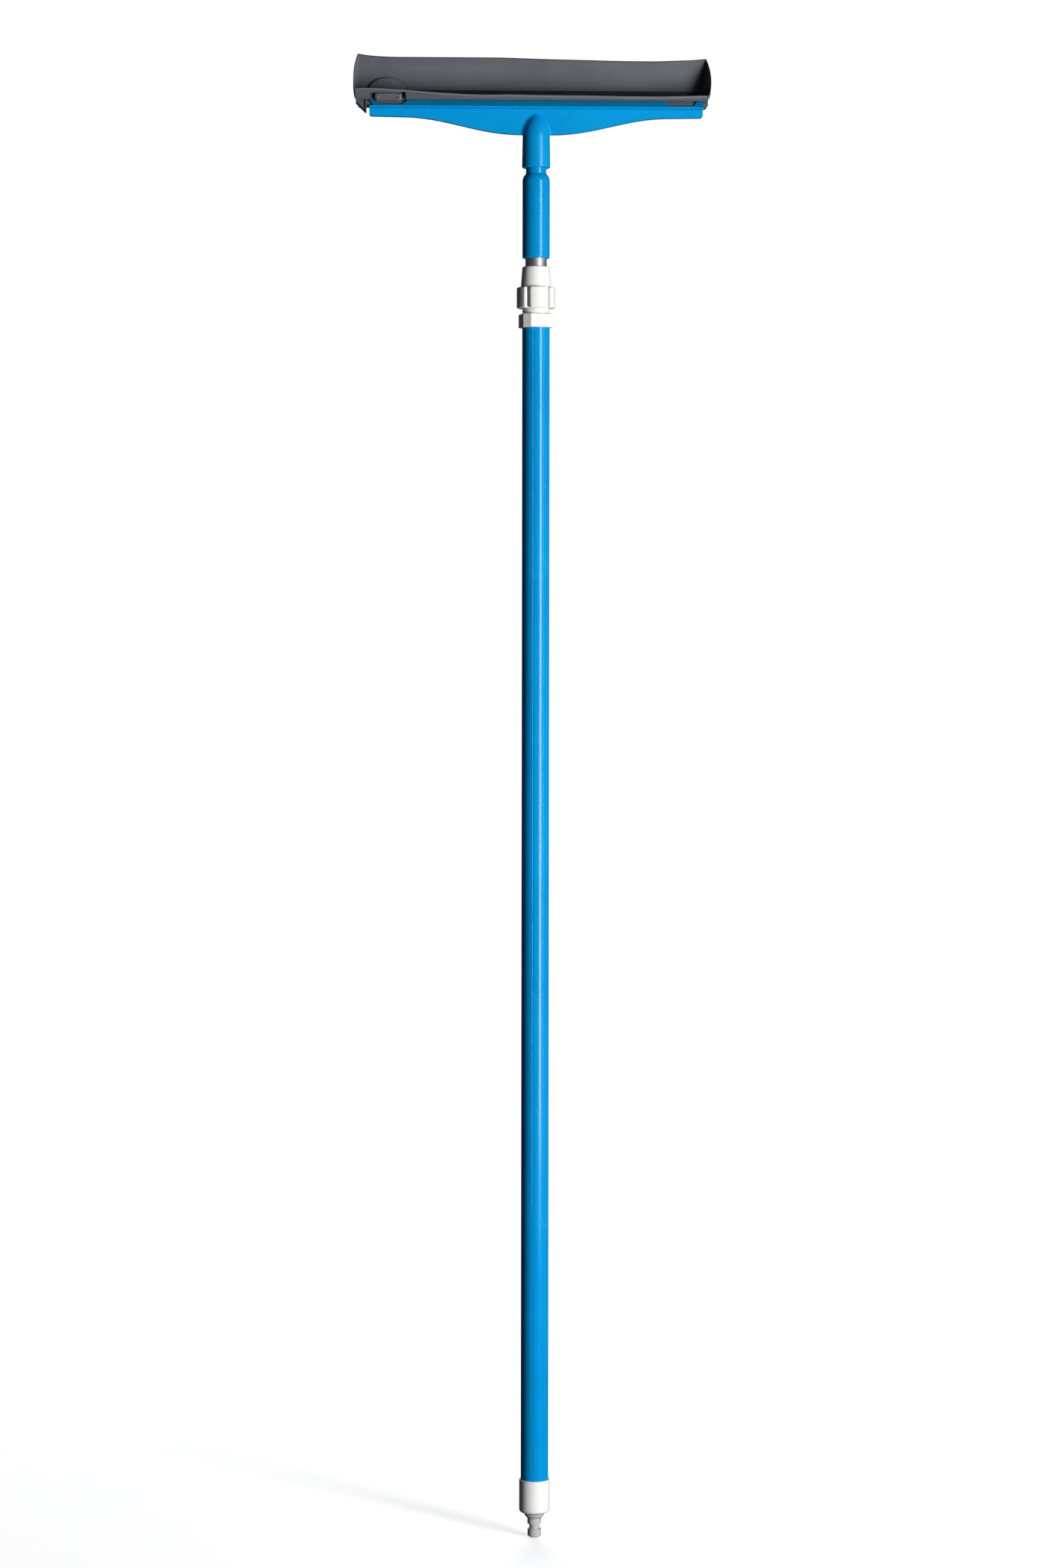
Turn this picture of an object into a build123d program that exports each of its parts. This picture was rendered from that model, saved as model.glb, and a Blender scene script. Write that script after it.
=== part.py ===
from build123d import *
import math
import os

# Water-fed telescopic pole with a screw-on squeegee head that carries a rubber trough.
# Units are millimetres. +Z runs up the pole, and -Y is the front, where the trough's low lip is.
# The origin lies on the pole's axis, at the middle of the end cap's straight wall.

# ---- Clearances ---------------------------------------------------------------------------
bond_gap = 0.05  # radial gap of two pieces that are glued or pressed together
slide_gap = 0.08  # radial gap of two pieces that slide or turn on each other
face_gap = 0.2  # gap between the faces of two pieces that move apart
thread_gap = 0.3  # gap all round a screw thread
thread_root_share = 0.72  # a thread's width at its root and at its crest, as shares of the pitch
thread_crest_share = 0.32
thread_lead_share = 0.75  # a thread's helix starts this share of a pitch below a whole number of pitches
rail_gap = 0.3  # gap all round the rail in its channel
cut_over = 1.0  # how far a cut runs past the face it opens

# ---- Tubes --------------------------------------------------------------------------------
outer_tube_radius = 15.0
inner_tube_radius = 12.5
tube_wall = 1.2
sleeve_thickness = 1.0
sleeve_groove_count = 8
sleeve_groove_radius = 1.0
sleeve_groove_depth = 0.3
sleeve_groove_start = -147.0  # direction of the first groove, in degrees
outer_pole_length = 1381.0  # from the end cap's bottom to the clamp body's bottom

# ---- End cap, plug and hose nipple --------------------------------------------------------
cap_reach = 1.75  # how far the cap stands out round the sleeve
cap_height = 38.6
cap_corner = 4.0
cap_rim_chamfer = 0.4
cap_floor = 2.5
plug_flange = 2.5
plug_length = 30.0
plug_bore_radius = 5.0
plug_ring_height = 18.0  # from the plug's flange to the ring's groove
ring_section = 2.4
ring_depth = 1.7
ring_round = 0.5
nipple_head_radius = 7.85
nipple_head_height = 8.9
nipple_head_round = 2.0
nipple_neck_radius = 5.6
nipple_ridge_radius = 6.1
nipple_ridge_height = 12.8
nipple_ridge_width = 1.2
nipple_neck_top = 15.0
nipple_shoulder_radius = 8.1
nipple_shoulder_top = 21.0
nipple_flange_radius = 11.4
nipple_flange_bottom = 24.8
nipple_flange_top = 26.7
nipple_bore_radius = 3.6
nipple_stem_radius = 6.5
nipple_stem_length = 15.0
washer_thickness = 1.3
washer_radius = 10.5

# ---- Clamp body, collet and lock nut ------------------------------------------------------
clamp_reach = 2.2  # how far the clamp body's flats stand out round the sleeve
clamp_corner = 7.7
clamp_turn = 13.0  # the flats are turned this far round the pole, in degrees
clamp_edge_round = 1.2
clamp_base_height = 16.0
clamp_height = 37.0
clamp_sleeve_seat = 12.0
clamp_tube_seat = 14.0
clamp_shoulder_top = 15.5
bush_wall = 1.5
lock_thread_wall = 1.35  # from the bush's pocket to the thread's root
lock_thread_depth = 0.9
lock_thread_pitch = 3.0
bush_height = 5.0
clamp_seal_height = 3.0
seal_lip_reach = 0.7  # how far the seal's lip stands in from its sides
seal_lip_height = 0.9
collet_skirt_gap = 0.6
collet_head_inset = 0.2  # how far the collet's head stands in from the thread's root
collet_head_height = 2.7
collet_taper = 1.55
collet_cone_height = 12.0
collet_slot_width = 1.4
collet_slot_count = 6
nut_bottom_rise = 22.5  # from the clamp body's bottom to the nut's
nut_wall = 1.15
nut_lobe_rise = 4.8
nut_lobe_count = 5
nut_valley_width = 3.6
nut_valley_start = -118.5  # direction of the first valley, in degrees
nut_lobe_round = 2.6
nut_edge_round = 1.7
nut_lobe_height = 24.5
nut_height = 48.7
nut_top_wall = 3.4  # from the inner tube's face
nut_top_round = 1.6
nut_mouth_gap = 0.5
wiper_height = 3.0
wiper_depth = 1.3
wiper_rise = 39.5  # from the nut's bottom to its wiper groove

# ---- Inner pole's lower guide -------------------------------------------------------------
guide_rise = 40.0  # from the end cap's bottom to the guide's bottom, with the pole closed
guide_collar_length = 24.0
guide_spigot_length = 15.0
guide_bore_radius = 6.0
guide_ring_positions = (5.0, 15.0)

# ---- Handle tip ---------------------------------------------------------------------------
tip_rise = 81.0  # from the clamp body's bottom to the tip's bottom, with the pole closed
tip_wall = 3.4  # from the inner tube's face
tip_edge_round = 1.5
tip_sleeve_length = 89.0
tip_shoulder_height = 10.0
tip_neck_reach = 0.25  # how far the neck stands out past the thread's crest
tip_neck_flare = 1.2
tip_shoulder_hold = 3.5  # how far the shoulder keeps its direction at its lower end, and at its upper
tip_shoulder_ease = 2.0
tip_neck_length = 10.7
tip_tube_depth = 78.0
tip_ring_rise = 60.0
tip_bore_radius = 5.5
tip_end_length = 4.0
head_thread_root = 9.6
head_thread_depth = 2.0
head_thread_pitch = 6.0
head_thread_length = 24.0

# ---- Squeegee frame -----------------------------------------------------------------------
socket_rise = 105.4  # from the tip's bottom to the socket's mouth
socket_wall = 3.6
socket_mouth_reach = 0.65
socket_mouth_round = 1.5
socket_entry_gap = 0.65  # round the thread's crest
socket_entry_depth = 4.6
gasket_thickness = 2.0
gasket_radius = 9.4
gasket_bore_radius = 5.0
dome_top = 66.3  # heights of the frame, from the socket's mouth
web_low = 38.8
web_high = 59.4
web_curve_start = 18.0
web_end_length = 44.5  # the straight ends of the web's lower edge
web_end_rise = 0.8  # what is left for the web's lower edge to rise from there to its end
web_end_slope = 0.03
web_half_length = 194.5
web_thickness = 9.0
web_corner = 3.0
web_flare = 4.0
dome_lead = 3.0  # how far below the web's lower edge the dome starts
channel_bottom = 68.5
channel_floor = 1.7
channel_wall = 3.5  # at the deck
channel_lean = 2.8  # the walls' outer faces lean in by this much to their tops
channel_inner_half = 10.5
channel_lip_reach = 2.0
channel_lip = 1.7
channel_height = 8.8
ledge_overhang = 0.8
channel_end_cut = 5.0
notch_margin = 11.5  # from the web's end to a notch's floor
notch_length = 27.0
notch_inner_slope = 6.0
notch_outer_slope = 4.5
notch_round = 1.8
notch_floor = 1.9
drain_radius = 4.0

# ---- Cassette: rail, trough and latch pads ------------------------------------------------
cassette_offset = -3.7  # the cassette sits this far along X from the pole's axis
rail_overhang = 9.2  # how much longer each half of the rail is than the web's
rail_plate_gap = 0.25
rail_plate_thickness = 1.2
rail_plate_front_inset = 0.6  # from the channel's outer faces at the deck to the plate's edges
rail_plate_back_inset = 2.4
rail_block_reach = 2.8  # how far the end block stands out past the rail's left end
rail_block_drop = 3.7  # how far the end block reaches below the channel's bottom
rail_block_chamfer = 10.5
rail_block_gap = 3.2
rail_block_slot = 1.7
rail_block_slot_depth = 4.0
rail_block_flange = 1.3
rail_end_round = 3.5
rail_drain_radius = 4.5
drain_gasket_radius = 7.0
drain_gasket_thickness = 1.4
trough_rim_inset = 0.2  # from the rail's ends to the trough's, at the rim and at the foot
trough_bulge = 4.5
trough_foot_inset = 1.2
trough_wall = 2.2
trough_floor = 1.5
trough_lip_reach = 13.6  # how far the lip, the back's top and its belly stand out past the plate
trough_lip_rise = 8.0  # heights of the trough, from its underside
trough_lip_height = 2.0
trough_lip_ease = 0.5  # how far the hollow's front edge stands above the lip, and behind the flap's foot
trough_flap_ease = 1.0
trough_back_reach = 1.6
trough_belly_reach = 2.8
trough_belly_rise = 27.0
trough_height = 52.0
trough_drain_radius = 6.0
pad_width = 32.0
pad_height = 8.6
pad_depth = 3.6
pad_crown = 1.2
pad_gap = 0.3
pad_drop = 2.2  # the pads' lower edges, below the channel walls' tops
pad_inset = 0.2  # from the channel's outer face at the deck to a pad's inner face
pad_lower_chamfer = 3.0
pad_round = 0.9
pad_margin = 23.5  # from the web's end to the pads' middle
pad_clear = 3.0
pad_travel = 1.5
pad_room_depth = 2.4  # room behind a pad's outer face line for its travel
thumb_bump_width = 44.0
thumb_bump_rise = 28.0
thumb_bump_depth = 4.6

# ---- Heights worked out from the sizes ----------------------------------------------------
cap_bottom = -(cap_height + cap_corner - cap_rim_chamfer) / 2
nipple_tip = cap_bottom - nipple_flange_top - washer_thickness
flange_bottom = cap_bottom + cap_floor
pole_bottom = flange_bottom + plug_flange
clamp_bottom = cap_bottom + outer_pole_length
clamp_top = clamp_bottom + clamp_height
nut_bottom = clamp_bottom + nut_bottom_rise
nut_top = nut_bottom + nut_height
guide_bottom = cap_bottom + guide_rise
inner_tube_bottom = guide_bottom + guide_collar_length
tip_bottom = clamp_bottom + tip_rise
tip_neck_bottom = tip_bottom + tip_sleeve_length + tip_shoulder_height
tip_thread_bottom = tip_neck_bottom + tip_neck_length
tip_top = tip_thread_bottom + head_thread_length + tip_end_length
socket_bottom = tip_bottom + socket_rise
gasket_bottom = tip_top + face_gap
socket_top = gasket_bottom + gasket_thickness + face_gap
channel_base = socket_bottom + channel_bottom
channel_deck = channel_base + channel_floor
channel_top = channel_base + channel_height
rail_bottom = channel_deck + rail_gap
rail_plate_bottom = channel_top + rail_plate_gap
trough_bottom = rail_plate_bottom + rail_plate_thickness
lip_gap_half = channel_inner_half - channel_lip_reach
trough_top = trough_bottom + trough_height

# ---- Radii worked out from the sizes ------------------------------------------------------
outer_bore_radius = outer_tube_radius - tube_wall
inner_bore_radius = inner_tube_radius - tube_wall
sleeve_radius = outer_tube_radius + sleeve_thickness
cap_radius = sleeve_radius + cap_reach
clamp_across_flats = 2 * (sleeve_radius + clamp_reach)
clamp_pocket_radius = inner_tube_radius + bush_wall
lock_thread_root = clamp_pocket_radius + lock_thread_wall
lock_thread_crest = lock_thread_root + lock_thread_depth
collet_bore_radius = inner_tube_radius + slide_gap
collet_head_radius = lock_thread_root - collet_head_inset
collet_tip_radius = collet_head_radius - collet_taper
nut_core_radius = lock_thread_crest + thread_gap + nut_wall
nut_lobe_radius = nut_core_radius + nut_lobe_rise
nut_top_radius = inner_tube_radius + nut_top_wall
nut_mouth_radius = inner_tube_radius + nut_mouth_gap
tip_radius = inner_tube_radius + tip_wall
head_thread_crest = head_thread_root + head_thread_depth
tip_neck_radius = head_thread_crest + tip_neck_reach
socket_entry_radius = head_thread_crest + socket_entry_gap
socket_radius = socket_entry_radius + socket_wall
socket_mouth_radius = socket_radius + socket_mouth_reach

# ---- Places along and across the head worked out from the sizes ---------------------------
web_curve_end = web_half_length - web_end_length
notch_outer = web_half_length - notch_margin
notch_inner = notch_outer - notch_length
rail_half_length = web_half_length + rail_overhang
trough_rim_half = rail_half_length - trough_rim_inset
trough_foot_half = rail_half_length - trough_foot_inset
pad_centre = pad_margin - web_half_length
channel_half_width = channel_inner_half + channel_wall
rail_plate_front = rail_plate_front_inset - channel_half_width
rail_plate_back = channel_half_width - rail_plate_back_inset
trough_lip_y = rail_plate_front - trough_lip_reach
trough_back_y = rail_plate_back + trough_back_reach
trough_belly_y = rail_plate_back + trough_belly_reach
pad_face = channel_half_width - pad_inset


def add_ring(outer_radius, inner_radius, bottom, top):
    """Add a straight ring, from one height to another, to the part being built."""
    with BuildSketch(Plane.XY.offset(bottom)) as section:
        Circle(outer_radius)
        Circle(inner_radius, mode=Mode.SUBTRACT)
    extrude(section.sketch, amount=top - bottom)


def cut_bore(radius, bottom, top):
    """Cut a round bore on the pole's axis out of the part being built."""
    with BuildSketch(Plane.XY.offset(bottom)) as section:
        Circle(radius)
    extrude(section.sketch, amount=top - bottom, mode=Mode.SUBTRACT)


def cut_groove(outer_radius, inner_radius, bottom, top):
    """Cut a ring-shaped groove out of the part being built."""
    with BuildSketch(Plane.XY.offset(bottom)) as section:
        Circle(outer_radius)
        Circle(inner_radius, mode=Mode.SUBTRACT)
    extrude(section.sketch, amount=top - bottom, mode=Mode.SUBTRACT)


def add_turned(*profile, mode=Mode.ADD):
    """Add (or cut) the solid that a closed outline of (radius, height) points sweeps round the axis."""
    with BuildSketch(Plane.XZ) as section:
        with BuildLine():
            Polyline(*profile, close=True)
        make_face()
    revolve(section.sketch, axis=Axis.Z, mode=mode)


def screw_ridge(root, crest, pitch, bottom, top, spare=0.0):
    """Return one helical ridge of a coarse screw thread, cut square at its two heights.

    The helix starts at a height tied to the pitch alone, so that a screw and its nut are in step.
    spare widens and raises the ridge on all sides, for cutting the matching thread of a nut.
    """
    depth = crest - root
    half_root = pitch * thread_root_share / 2 + spare
    half_crest = pitch * thread_crest_share / 2 + spare
    overlap = bond_gap * 8
    helix_bottom = pitch * (bottom // pitch - thread_lead_share)
    with BuildPart() as ridge:
        with BuildLine() as path:
            Helix(pitch=pitch, height=top - helix_bottom + pitch, radius=root, center=(0, 0, helix_bottom))
        start = path.line @ 0
        with BuildSketch(Plane(origin=start, x_dir=(1, 0, 0), z_dir=path.line % 0)):
            with BuildLine():
                Polyline(
                    (-overlap, -half_root),
                    (0, -half_root),
                    (depth + spare, -half_crest),
                    (depth + spare, half_crest),
                    (0, half_root),
                    (-overlap, half_root),
                    close=True,
                )
            make_face()
        sweep(path=path.line, is_frenet=True)
        with BuildSketch(Plane.XY.offset(bottom)):
            Circle(crest + spare + 1)
        extrude(amount=top - bottom, mode=Mode.INTERSECT)
    return ridge.part


# ---- Foot of the pole ---------------------------------------------------------------------
with BuildPart() as hose_nipple:
    add_turned(
        (nipple_bore_radius, nipple_tip),
        (nipple_head_radius, nipple_tip),
        (nipple_head_radius, nipple_tip + nipple_head_height),
        (nipple_neck_radius, nipple_tip + nipple_head_height),
        (nipple_neck_radius, nipple_tip + nipple_neck_top),
        (nipple_shoulder_radius, nipple_tip + nipple_neck_top),
        (nipple_shoulder_radius, nipple_tip + nipple_shoulder_top),
        (nipple_flange_radius, nipple_tip + nipple_flange_bottom),
        (nipple_flange_radius, nipple_tip + nipple_flange_top),
        (nipple_stem_radius, nipple_tip + nipple_flange_top),
        (nipple_stem_radius, cap_bottom + nipple_stem_length),
        (nipple_bore_radius, cap_bottom + nipple_stem_length),
    )
    lowest_edges = hose_nipple.edges().filter_by(GeomType.CIRCLE).group_by(Axis.Z)[0]
    rim = lowest_edges.sort_by(SortBy.RADIUS)[-1]
    fillet(rim, nipple_head_round)
    ridge_bottom = nipple_tip + nipple_ridge_height - nipple_ridge_width / 2
    add_ring(nipple_ridge_radius, nipple_neck_radius, ridge_bottom, ridge_bottom + nipple_ridge_width)
hose_nipple.part.label = "hose_nipple"

with BuildPart() as nipple_washer:
    add_ring(washer_radius, nipple_stem_radius + bond_gap, cap_bottom - washer_thickness, cap_bottom)
nipple_washer.part.label = "nipple_washer"

with BuildPart() as end_cap:
    add_ring(cap_radius, sleeve_radius + bond_gap, flange_bottom, cap_bottom + cap_height)
    add_ring(cap_radius, nipple_stem_radius + bond_gap, cap_bottom, flange_bottom)
    round_edges = end_cap.edges().filter_by(GeomType.CIRCLE)
    outer_edges = round_edges.filter_by(lambda edge: edge.radius > cap_radius - bond_gap)
    fillet(outer_edges.sort_by(Axis.Z)[0], cap_corner)
    chamfer(outer_edges.sort_by(Axis.Z)[-1], cap_rim_chamfer)
end_cap.part.label = "end_cap"

plug_radius = outer_bore_radius - bond_gap
plug_ring_bottom = pole_bottom + plug_ring_height
with BuildPart() as end_plug:
    add_ring(sleeve_radius - bond_gap, plug_bore_radius, flange_bottom, pole_bottom)
    add_ring(plug_radius, plug_bore_radius, pole_bottom, pole_bottom + plug_length)
    cut_bore(nipple_stem_radius + bond_gap, flange_bottom, cap_bottom + nipple_stem_length)
    cut_groove(plug_radius + 1, plug_radius - ring_depth, plug_ring_bottom, plug_ring_bottom + ring_section)
end_plug.part.label = "end_plug"

with BuildPart() as end_plug_ring:
    add_ring(outer_bore_radius, plug_radius - ring_depth, plug_ring_bottom, plug_ring_bottom + ring_section)
    fillet(end_plug_ring.edges().filter_by(GeomType.CIRCLE), ring_round)
end_plug_ring.part.label = "end_plug_ring"

# ---- Outer pole ---------------------------------------------------------------------------
with BuildPart() as outer_tube:
    add_ring(outer_tube_radius, outer_bore_radius, pole_bottom, clamp_bottom + clamp_tube_seat)
outer_tube.part.label = "outer_tube"

with BuildPart() as outer_sleeve:
    add_ring(sleeve_radius, outer_tube_radius + bond_gap, pole_bottom, clamp_bottom + clamp_sleeve_seat)
    groove_centre = sleeve_radius - sleeve_groove_depth + sleeve_groove_radius
    with BuildSketch(Plane.XY.offset(cap_bottom + cap_height)):
        with PolarLocations(groove_centre, sleeve_groove_count, start_angle=sleeve_groove_start):
            Circle(sleeve_groove_radius)
    extrude(amount=clamp_bottom - cap_bottom - cap_height, mode=Mode.SUBTRACT)
outer_sleeve.part.label = "outer_sleeve"

# ---- Clamp on the outer pole --------------------------------------------------------------
lock_ridge = screw_ridge(
    lock_thread_root, lock_thread_crest, lock_thread_pitch, clamp_bottom + clamp_base_height, clamp_top
)
with BuildPart() as clamp_body:
    with BuildSketch(Plane.XY.offset(clamp_bottom)) as clamp_outline:
        Rectangle(clamp_across_flats, clamp_across_flats, rotation=clamp_turn)
        chamfer(clamp_outline.vertices(), clamp_corner)
        fillet(clamp_outline.vertices(), clamp_edge_round)
    extrude(amount=clamp_base_height)
    fillet(clamp_body.faces().sort_by(Axis.Z)[-1].edges(), clamp_edge_round)
    fillet(clamp_body.faces().sort_by(Axis.Z)[0].edges(), clamp_edge_round)
    with BuildSketch(Plane.XY.offset(clamp_bottom)):
        Circle(lock_thread_root)
    extrude(amount=clamp_height)
    add(lock_ridge)
    cut_bore(sleeve_radius + bond_gap, clamp_bottom, clamp_bottom + clamp_sleeve_seat)
    cut_bore(outer_tube_radius + bond_gap, clamp_bottom, clamp_bottom + clamp_tube_seat)
    cut_bore(inner_tube_radius + 2 * slide_gap, clamp_bottom, clamp_bottom + clamp_shoulder_top)
    cut_bore(clamp_pocket_radius, clamp_bottom + clamp_shoulder_top, clamp_top)
clamp_body.part.label = "clamp_body"

bush_bottom = clamp_bottom + clamp_shoulder_top
seal_bottom = bush_bottom + bush_height
with BuildPart() as guide_bush:
    add_ring(clamp_pocket_radius - bond_gap, inner_tube_radius + slide_gap, bush_bottom, seal_bottom)
guide_bush.part.label = "guide_bush"

with BuildPart() as clamp_seal:
    seal_top = seal_bottom + clamp_seal_height
    seal_middle = (seal_bottom + seal_top) / 2
    add_turned(
        (inner_tube_radius + slide_gap, seal_middle - seal_lip_height / 2),
        (inner_tube_radius + seal_lip_reach, seal_bottom),
        (clamp_pocket_radius - bond_gap, seal_bottom),
        (clamp_pocket_radius - bond_gap, seal_top),
        (inner_tube_radius + seal_lip_reach, seal_top),
        (inner_tube_radius + slide_gap, seal_middle + seal_lip_height / 2),
    )
clamp_seal.part.label = "clamp_seal"

collet_bottom = seal_top + collet_skirt_gap
collet_head_bottom = clamp_top + face_gap
collet_cone_bottom = collet_head_bottom + collet_head_height
collet_top = collet_cone_bottom + collet_cone_height
with BuildPart() as lock_collet:
    add_turned(
        (collet_bore_radius, collet_bottom),
        (clamp_pocket_radius - slide_gap, collet_bottom),
        (clamp_pocket_radius - slide_gap, collet_head_bottom),
        (collet_head_radius, collet_head_bottom),
        (collet_head_radius, collet_cone_bottom),
        (collet_tip_radius, collet_top),
        (collet_bore_radius, collet_top),
    )
    slot_depth = collet_top - collet_bottom - clamp_seal_height
    with BuildSketch(Plane.XY.offset(collet_top)):
        with PolarLocations(collet_head_radius, collet_slot_count):
            Rectangle(collet_head_radius, collet_slot_width)
    extrude(amount=-slot_depth, mode=Mode.SUBTRACT)
lock_collet.part.label = "lock_collet"

nut_thread_bore = lock_thread_root + thread_gap
nut_lobe_top = nut_bottom + nut_lobe_height
wiper_bottom = nut_bottom + wiper_rise
nut_ridge = screw_ridge(
    lock_thread_root,
    lock_thread_crest,
    lock_thread_pitch,
    nut_bottom - thread_gap,
    clamp_top + thread_gap,
    spare=thread_gap,
)
with BuildPart() as lock_nut:
    with BuildSketch(Plane.XY.offset(nut_bottom)) as nut_outline:
        Circle(nut_lobe_radius)
        with PolarLocations(nut_lobe_radius, nut_lobe_count, start_angle=nut_valley_start):
            Rectangle(2 * (nut_lobe_radius - nut_core_radius), nut_valley_width, mode=Mode.SUBTRACT)
        outer_corners = nut_outline.vertices().filter_by(
            lambda corner: math.hypot(corner.X, corner.Y) > nut_lobe_radius - 0.5
        )
        fillet(outer_corners, nut_lobe_round)
    extrude(amount=nut_lobe_height)
    fillet(lock_nut.faces().sort_by(Axis.Z)[-1].outer_wire().edges(), nut_edge_round)
    fillet(lock_nut.faces().sort_by(Axis.Z)[0].outer_wire().edges(), nut_edge_round)
    add_turned(
        (0, nut_bottom),
        (nut_core_radius, nut_bottom),
        (nut_core_radius, nut_lobe_top + 1),
        (nut_top_radius, nut_top),
        (0, nut_top),
    )
    fillet(lock_nut.edges().filter_by(GeomType.CIRCLE).sort_by(Axis.Z)[-1], nut_top_round)
    cut_bore(nut_thread_bore, nut_bottom, collet_cone_bottom)
    add_turned(
        (0, collet_cone_bottom),
        (nut_thread_bore, collet_cone_bottom),
        (nut_thread_bore - collet_head_radius + collet_tip_radius, collet_top + face_gap),
        (0, collet_top + face_gap),
        mode=Mode.SUBTRACT,
    )
    cut_bore(nut_mouth_radius, collet_top, nut_top)
    cut_bore(nut_mouth_radius + wiper_depth, wiper_bottom, wiper_bottom + wiper_height)
    add(nut_ridge, mode=Mode.SUBTRACT)
lock_nut.part.label = "lock_nut"

with BuildPart() as wiper_ring:
    wiper_outer = nut_mouth_radius + wiper_depth - bond_gap
    wiper_top = wiper_bottom + wiper_height
    add_turned(
        (nut_mouth_radius, wiper_bottom + bond_gap),
        (wiper_outer, wiper_bottom + bond_gap),
        (wiper_outer, wiper_top - bond_gap),
        (nut_mouth_radius, wiper_top - bond_gap),
        (inner_tube_radius + slide_gap, wiper_top - wiper_height / 3),
    )
wiper_ring.part.label = "wiper_ring"

# ---- Inner pole ---------------------------------------------------------------------------
guide_radius = outer_bore_radius - slide_gap
with BuildPart() as slide_guide:
    add_ring(guide_radius, guide_bore_radius, guide_bottom, inner_tube_bottom)
    spigot_top = inner_tube_bottom + guide_spigot_length
    add_ring(inner_bore_radius - bond_gap, guide_bore_radius, inner_tube_bottom, spigot_top)
    for height in guide_ring_positions:
        ring_bottom = guide_bottom + height
        cut_groove(guide_radius + 1, guide_radius - ring_depth, ring_bottom, ring_bottom + ring_section)
slide_guide.part.label = "slide_guide"

slide_rings = []
for ring_name, height in zip(("slide_ring_lower", "slide_ring_upper"), guide_ring_positions):
    with BuildPart() as slide_ring:
        ring_bottom = guide_bottom + height
        ring_outer = outer_bore_radius - slide_gap / 2
        add_ring(ring_outer, guide_radius - ring_depth, ring_bottom, ring_bottom + ring_section)
        fillet(slide_ring.edges().filter_by(GeomType.CIRCLE), ring_round)
    slide_ring.part.label = ring_name
    slide_rings.append(slide_ring.part)

with BuildPart() as inner_tube:
    add_ring(inner_tube_radius, inner_bore_radius, inner_tube_bottom, tip_bottom + tip_tube_depth)
inner_tube.part.label = "inner_tube"

tip_bore = inner_tube_radius + bond_gap
tip_ring_bottom = tip_bottom + tip_ring_rise
tip_thread_top = tip_thread_bottom + head_thread_length
tip_ridge = screw_ridge(
    head_thread_root, head_thread_crest, head_thread_pitch, tip_thread_bottom, tip_thread_top
)
with BuildPart() as handle_tip:
    with BuildSketch(Plane.XZ):
        with BuildLine():
            shoulder_bottom = (tip_radius, tip_bottom + tip_sleeve_length)
            shoulder_top = (tip_neck_radius, tip_neck_bottom)
            Polyline((0, tip_neck_bottom), (0, tip_bottom), (tip_radius, tip_bottom), shoulder_bottom)
            Bezier(
                shoulder_bottom,
                (tip_radius, tip_neck_bottom - tip_shoulder_hold),
                (tip_neck_radius + tip_neck_flare, tip_neck_bottom - tip_shoulder_ease),
                shoulder_top,
            )
            Line(shoulder_top, (0, tip_neck_bottom))
        make_face()
    revolve(axis=Axis.Z)
    fillet(handle_tip.edges().filter_by(GeomType.CIRCLE).sort_by(Axis.Z)[0], tip_edge_round)
    add_turned(
        (0, tip_neck_bottom),
        (tip_neck_radius, tip_neck_bottom),
        (tip_neck_radius, tip_thread_bottom - face_gap),
        (head_thread_root, tip_thread_bottom - face_gap),
        (head_thread_root, tip_top - 1),
        (head_thread_root - 1, tip_top),
        (0, tip_top),
    )
    add(tip_ridge)
    cut_bore(tip_bore, tip_bottom, tip_bottom + tip_tube_depth)
    cut_bore(tip_bore + ring_depth, tip_ring_bottom, tip_ring_bottom + ring_section)
    cut_bore(tip_bore_radius, tip_bottom, tip_top)
handle_tip.part.label = "handle_tip"

with BuildPart() as tip_ring:
    add_ring(tip_bore + ring_depth, inner_tube_radius, tip_ring_bottom, tip_ring_bottom + ring_section)
    fillet(tip_ring.edges().filter_by(GeomType.CIRCLE), ring_round)
tip_ring.part.label = "tip_ring"

# ---- Squeegee frame -----------------------------------------------------------------------
with BuildPart() as socket_gasket:
    add_ring(gasket_radius, gasket_bore_radius, gasket_bottom, gasket_bottom + gasket_thickness)
socket_gasket.part.label = "socket_gasket"

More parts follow.
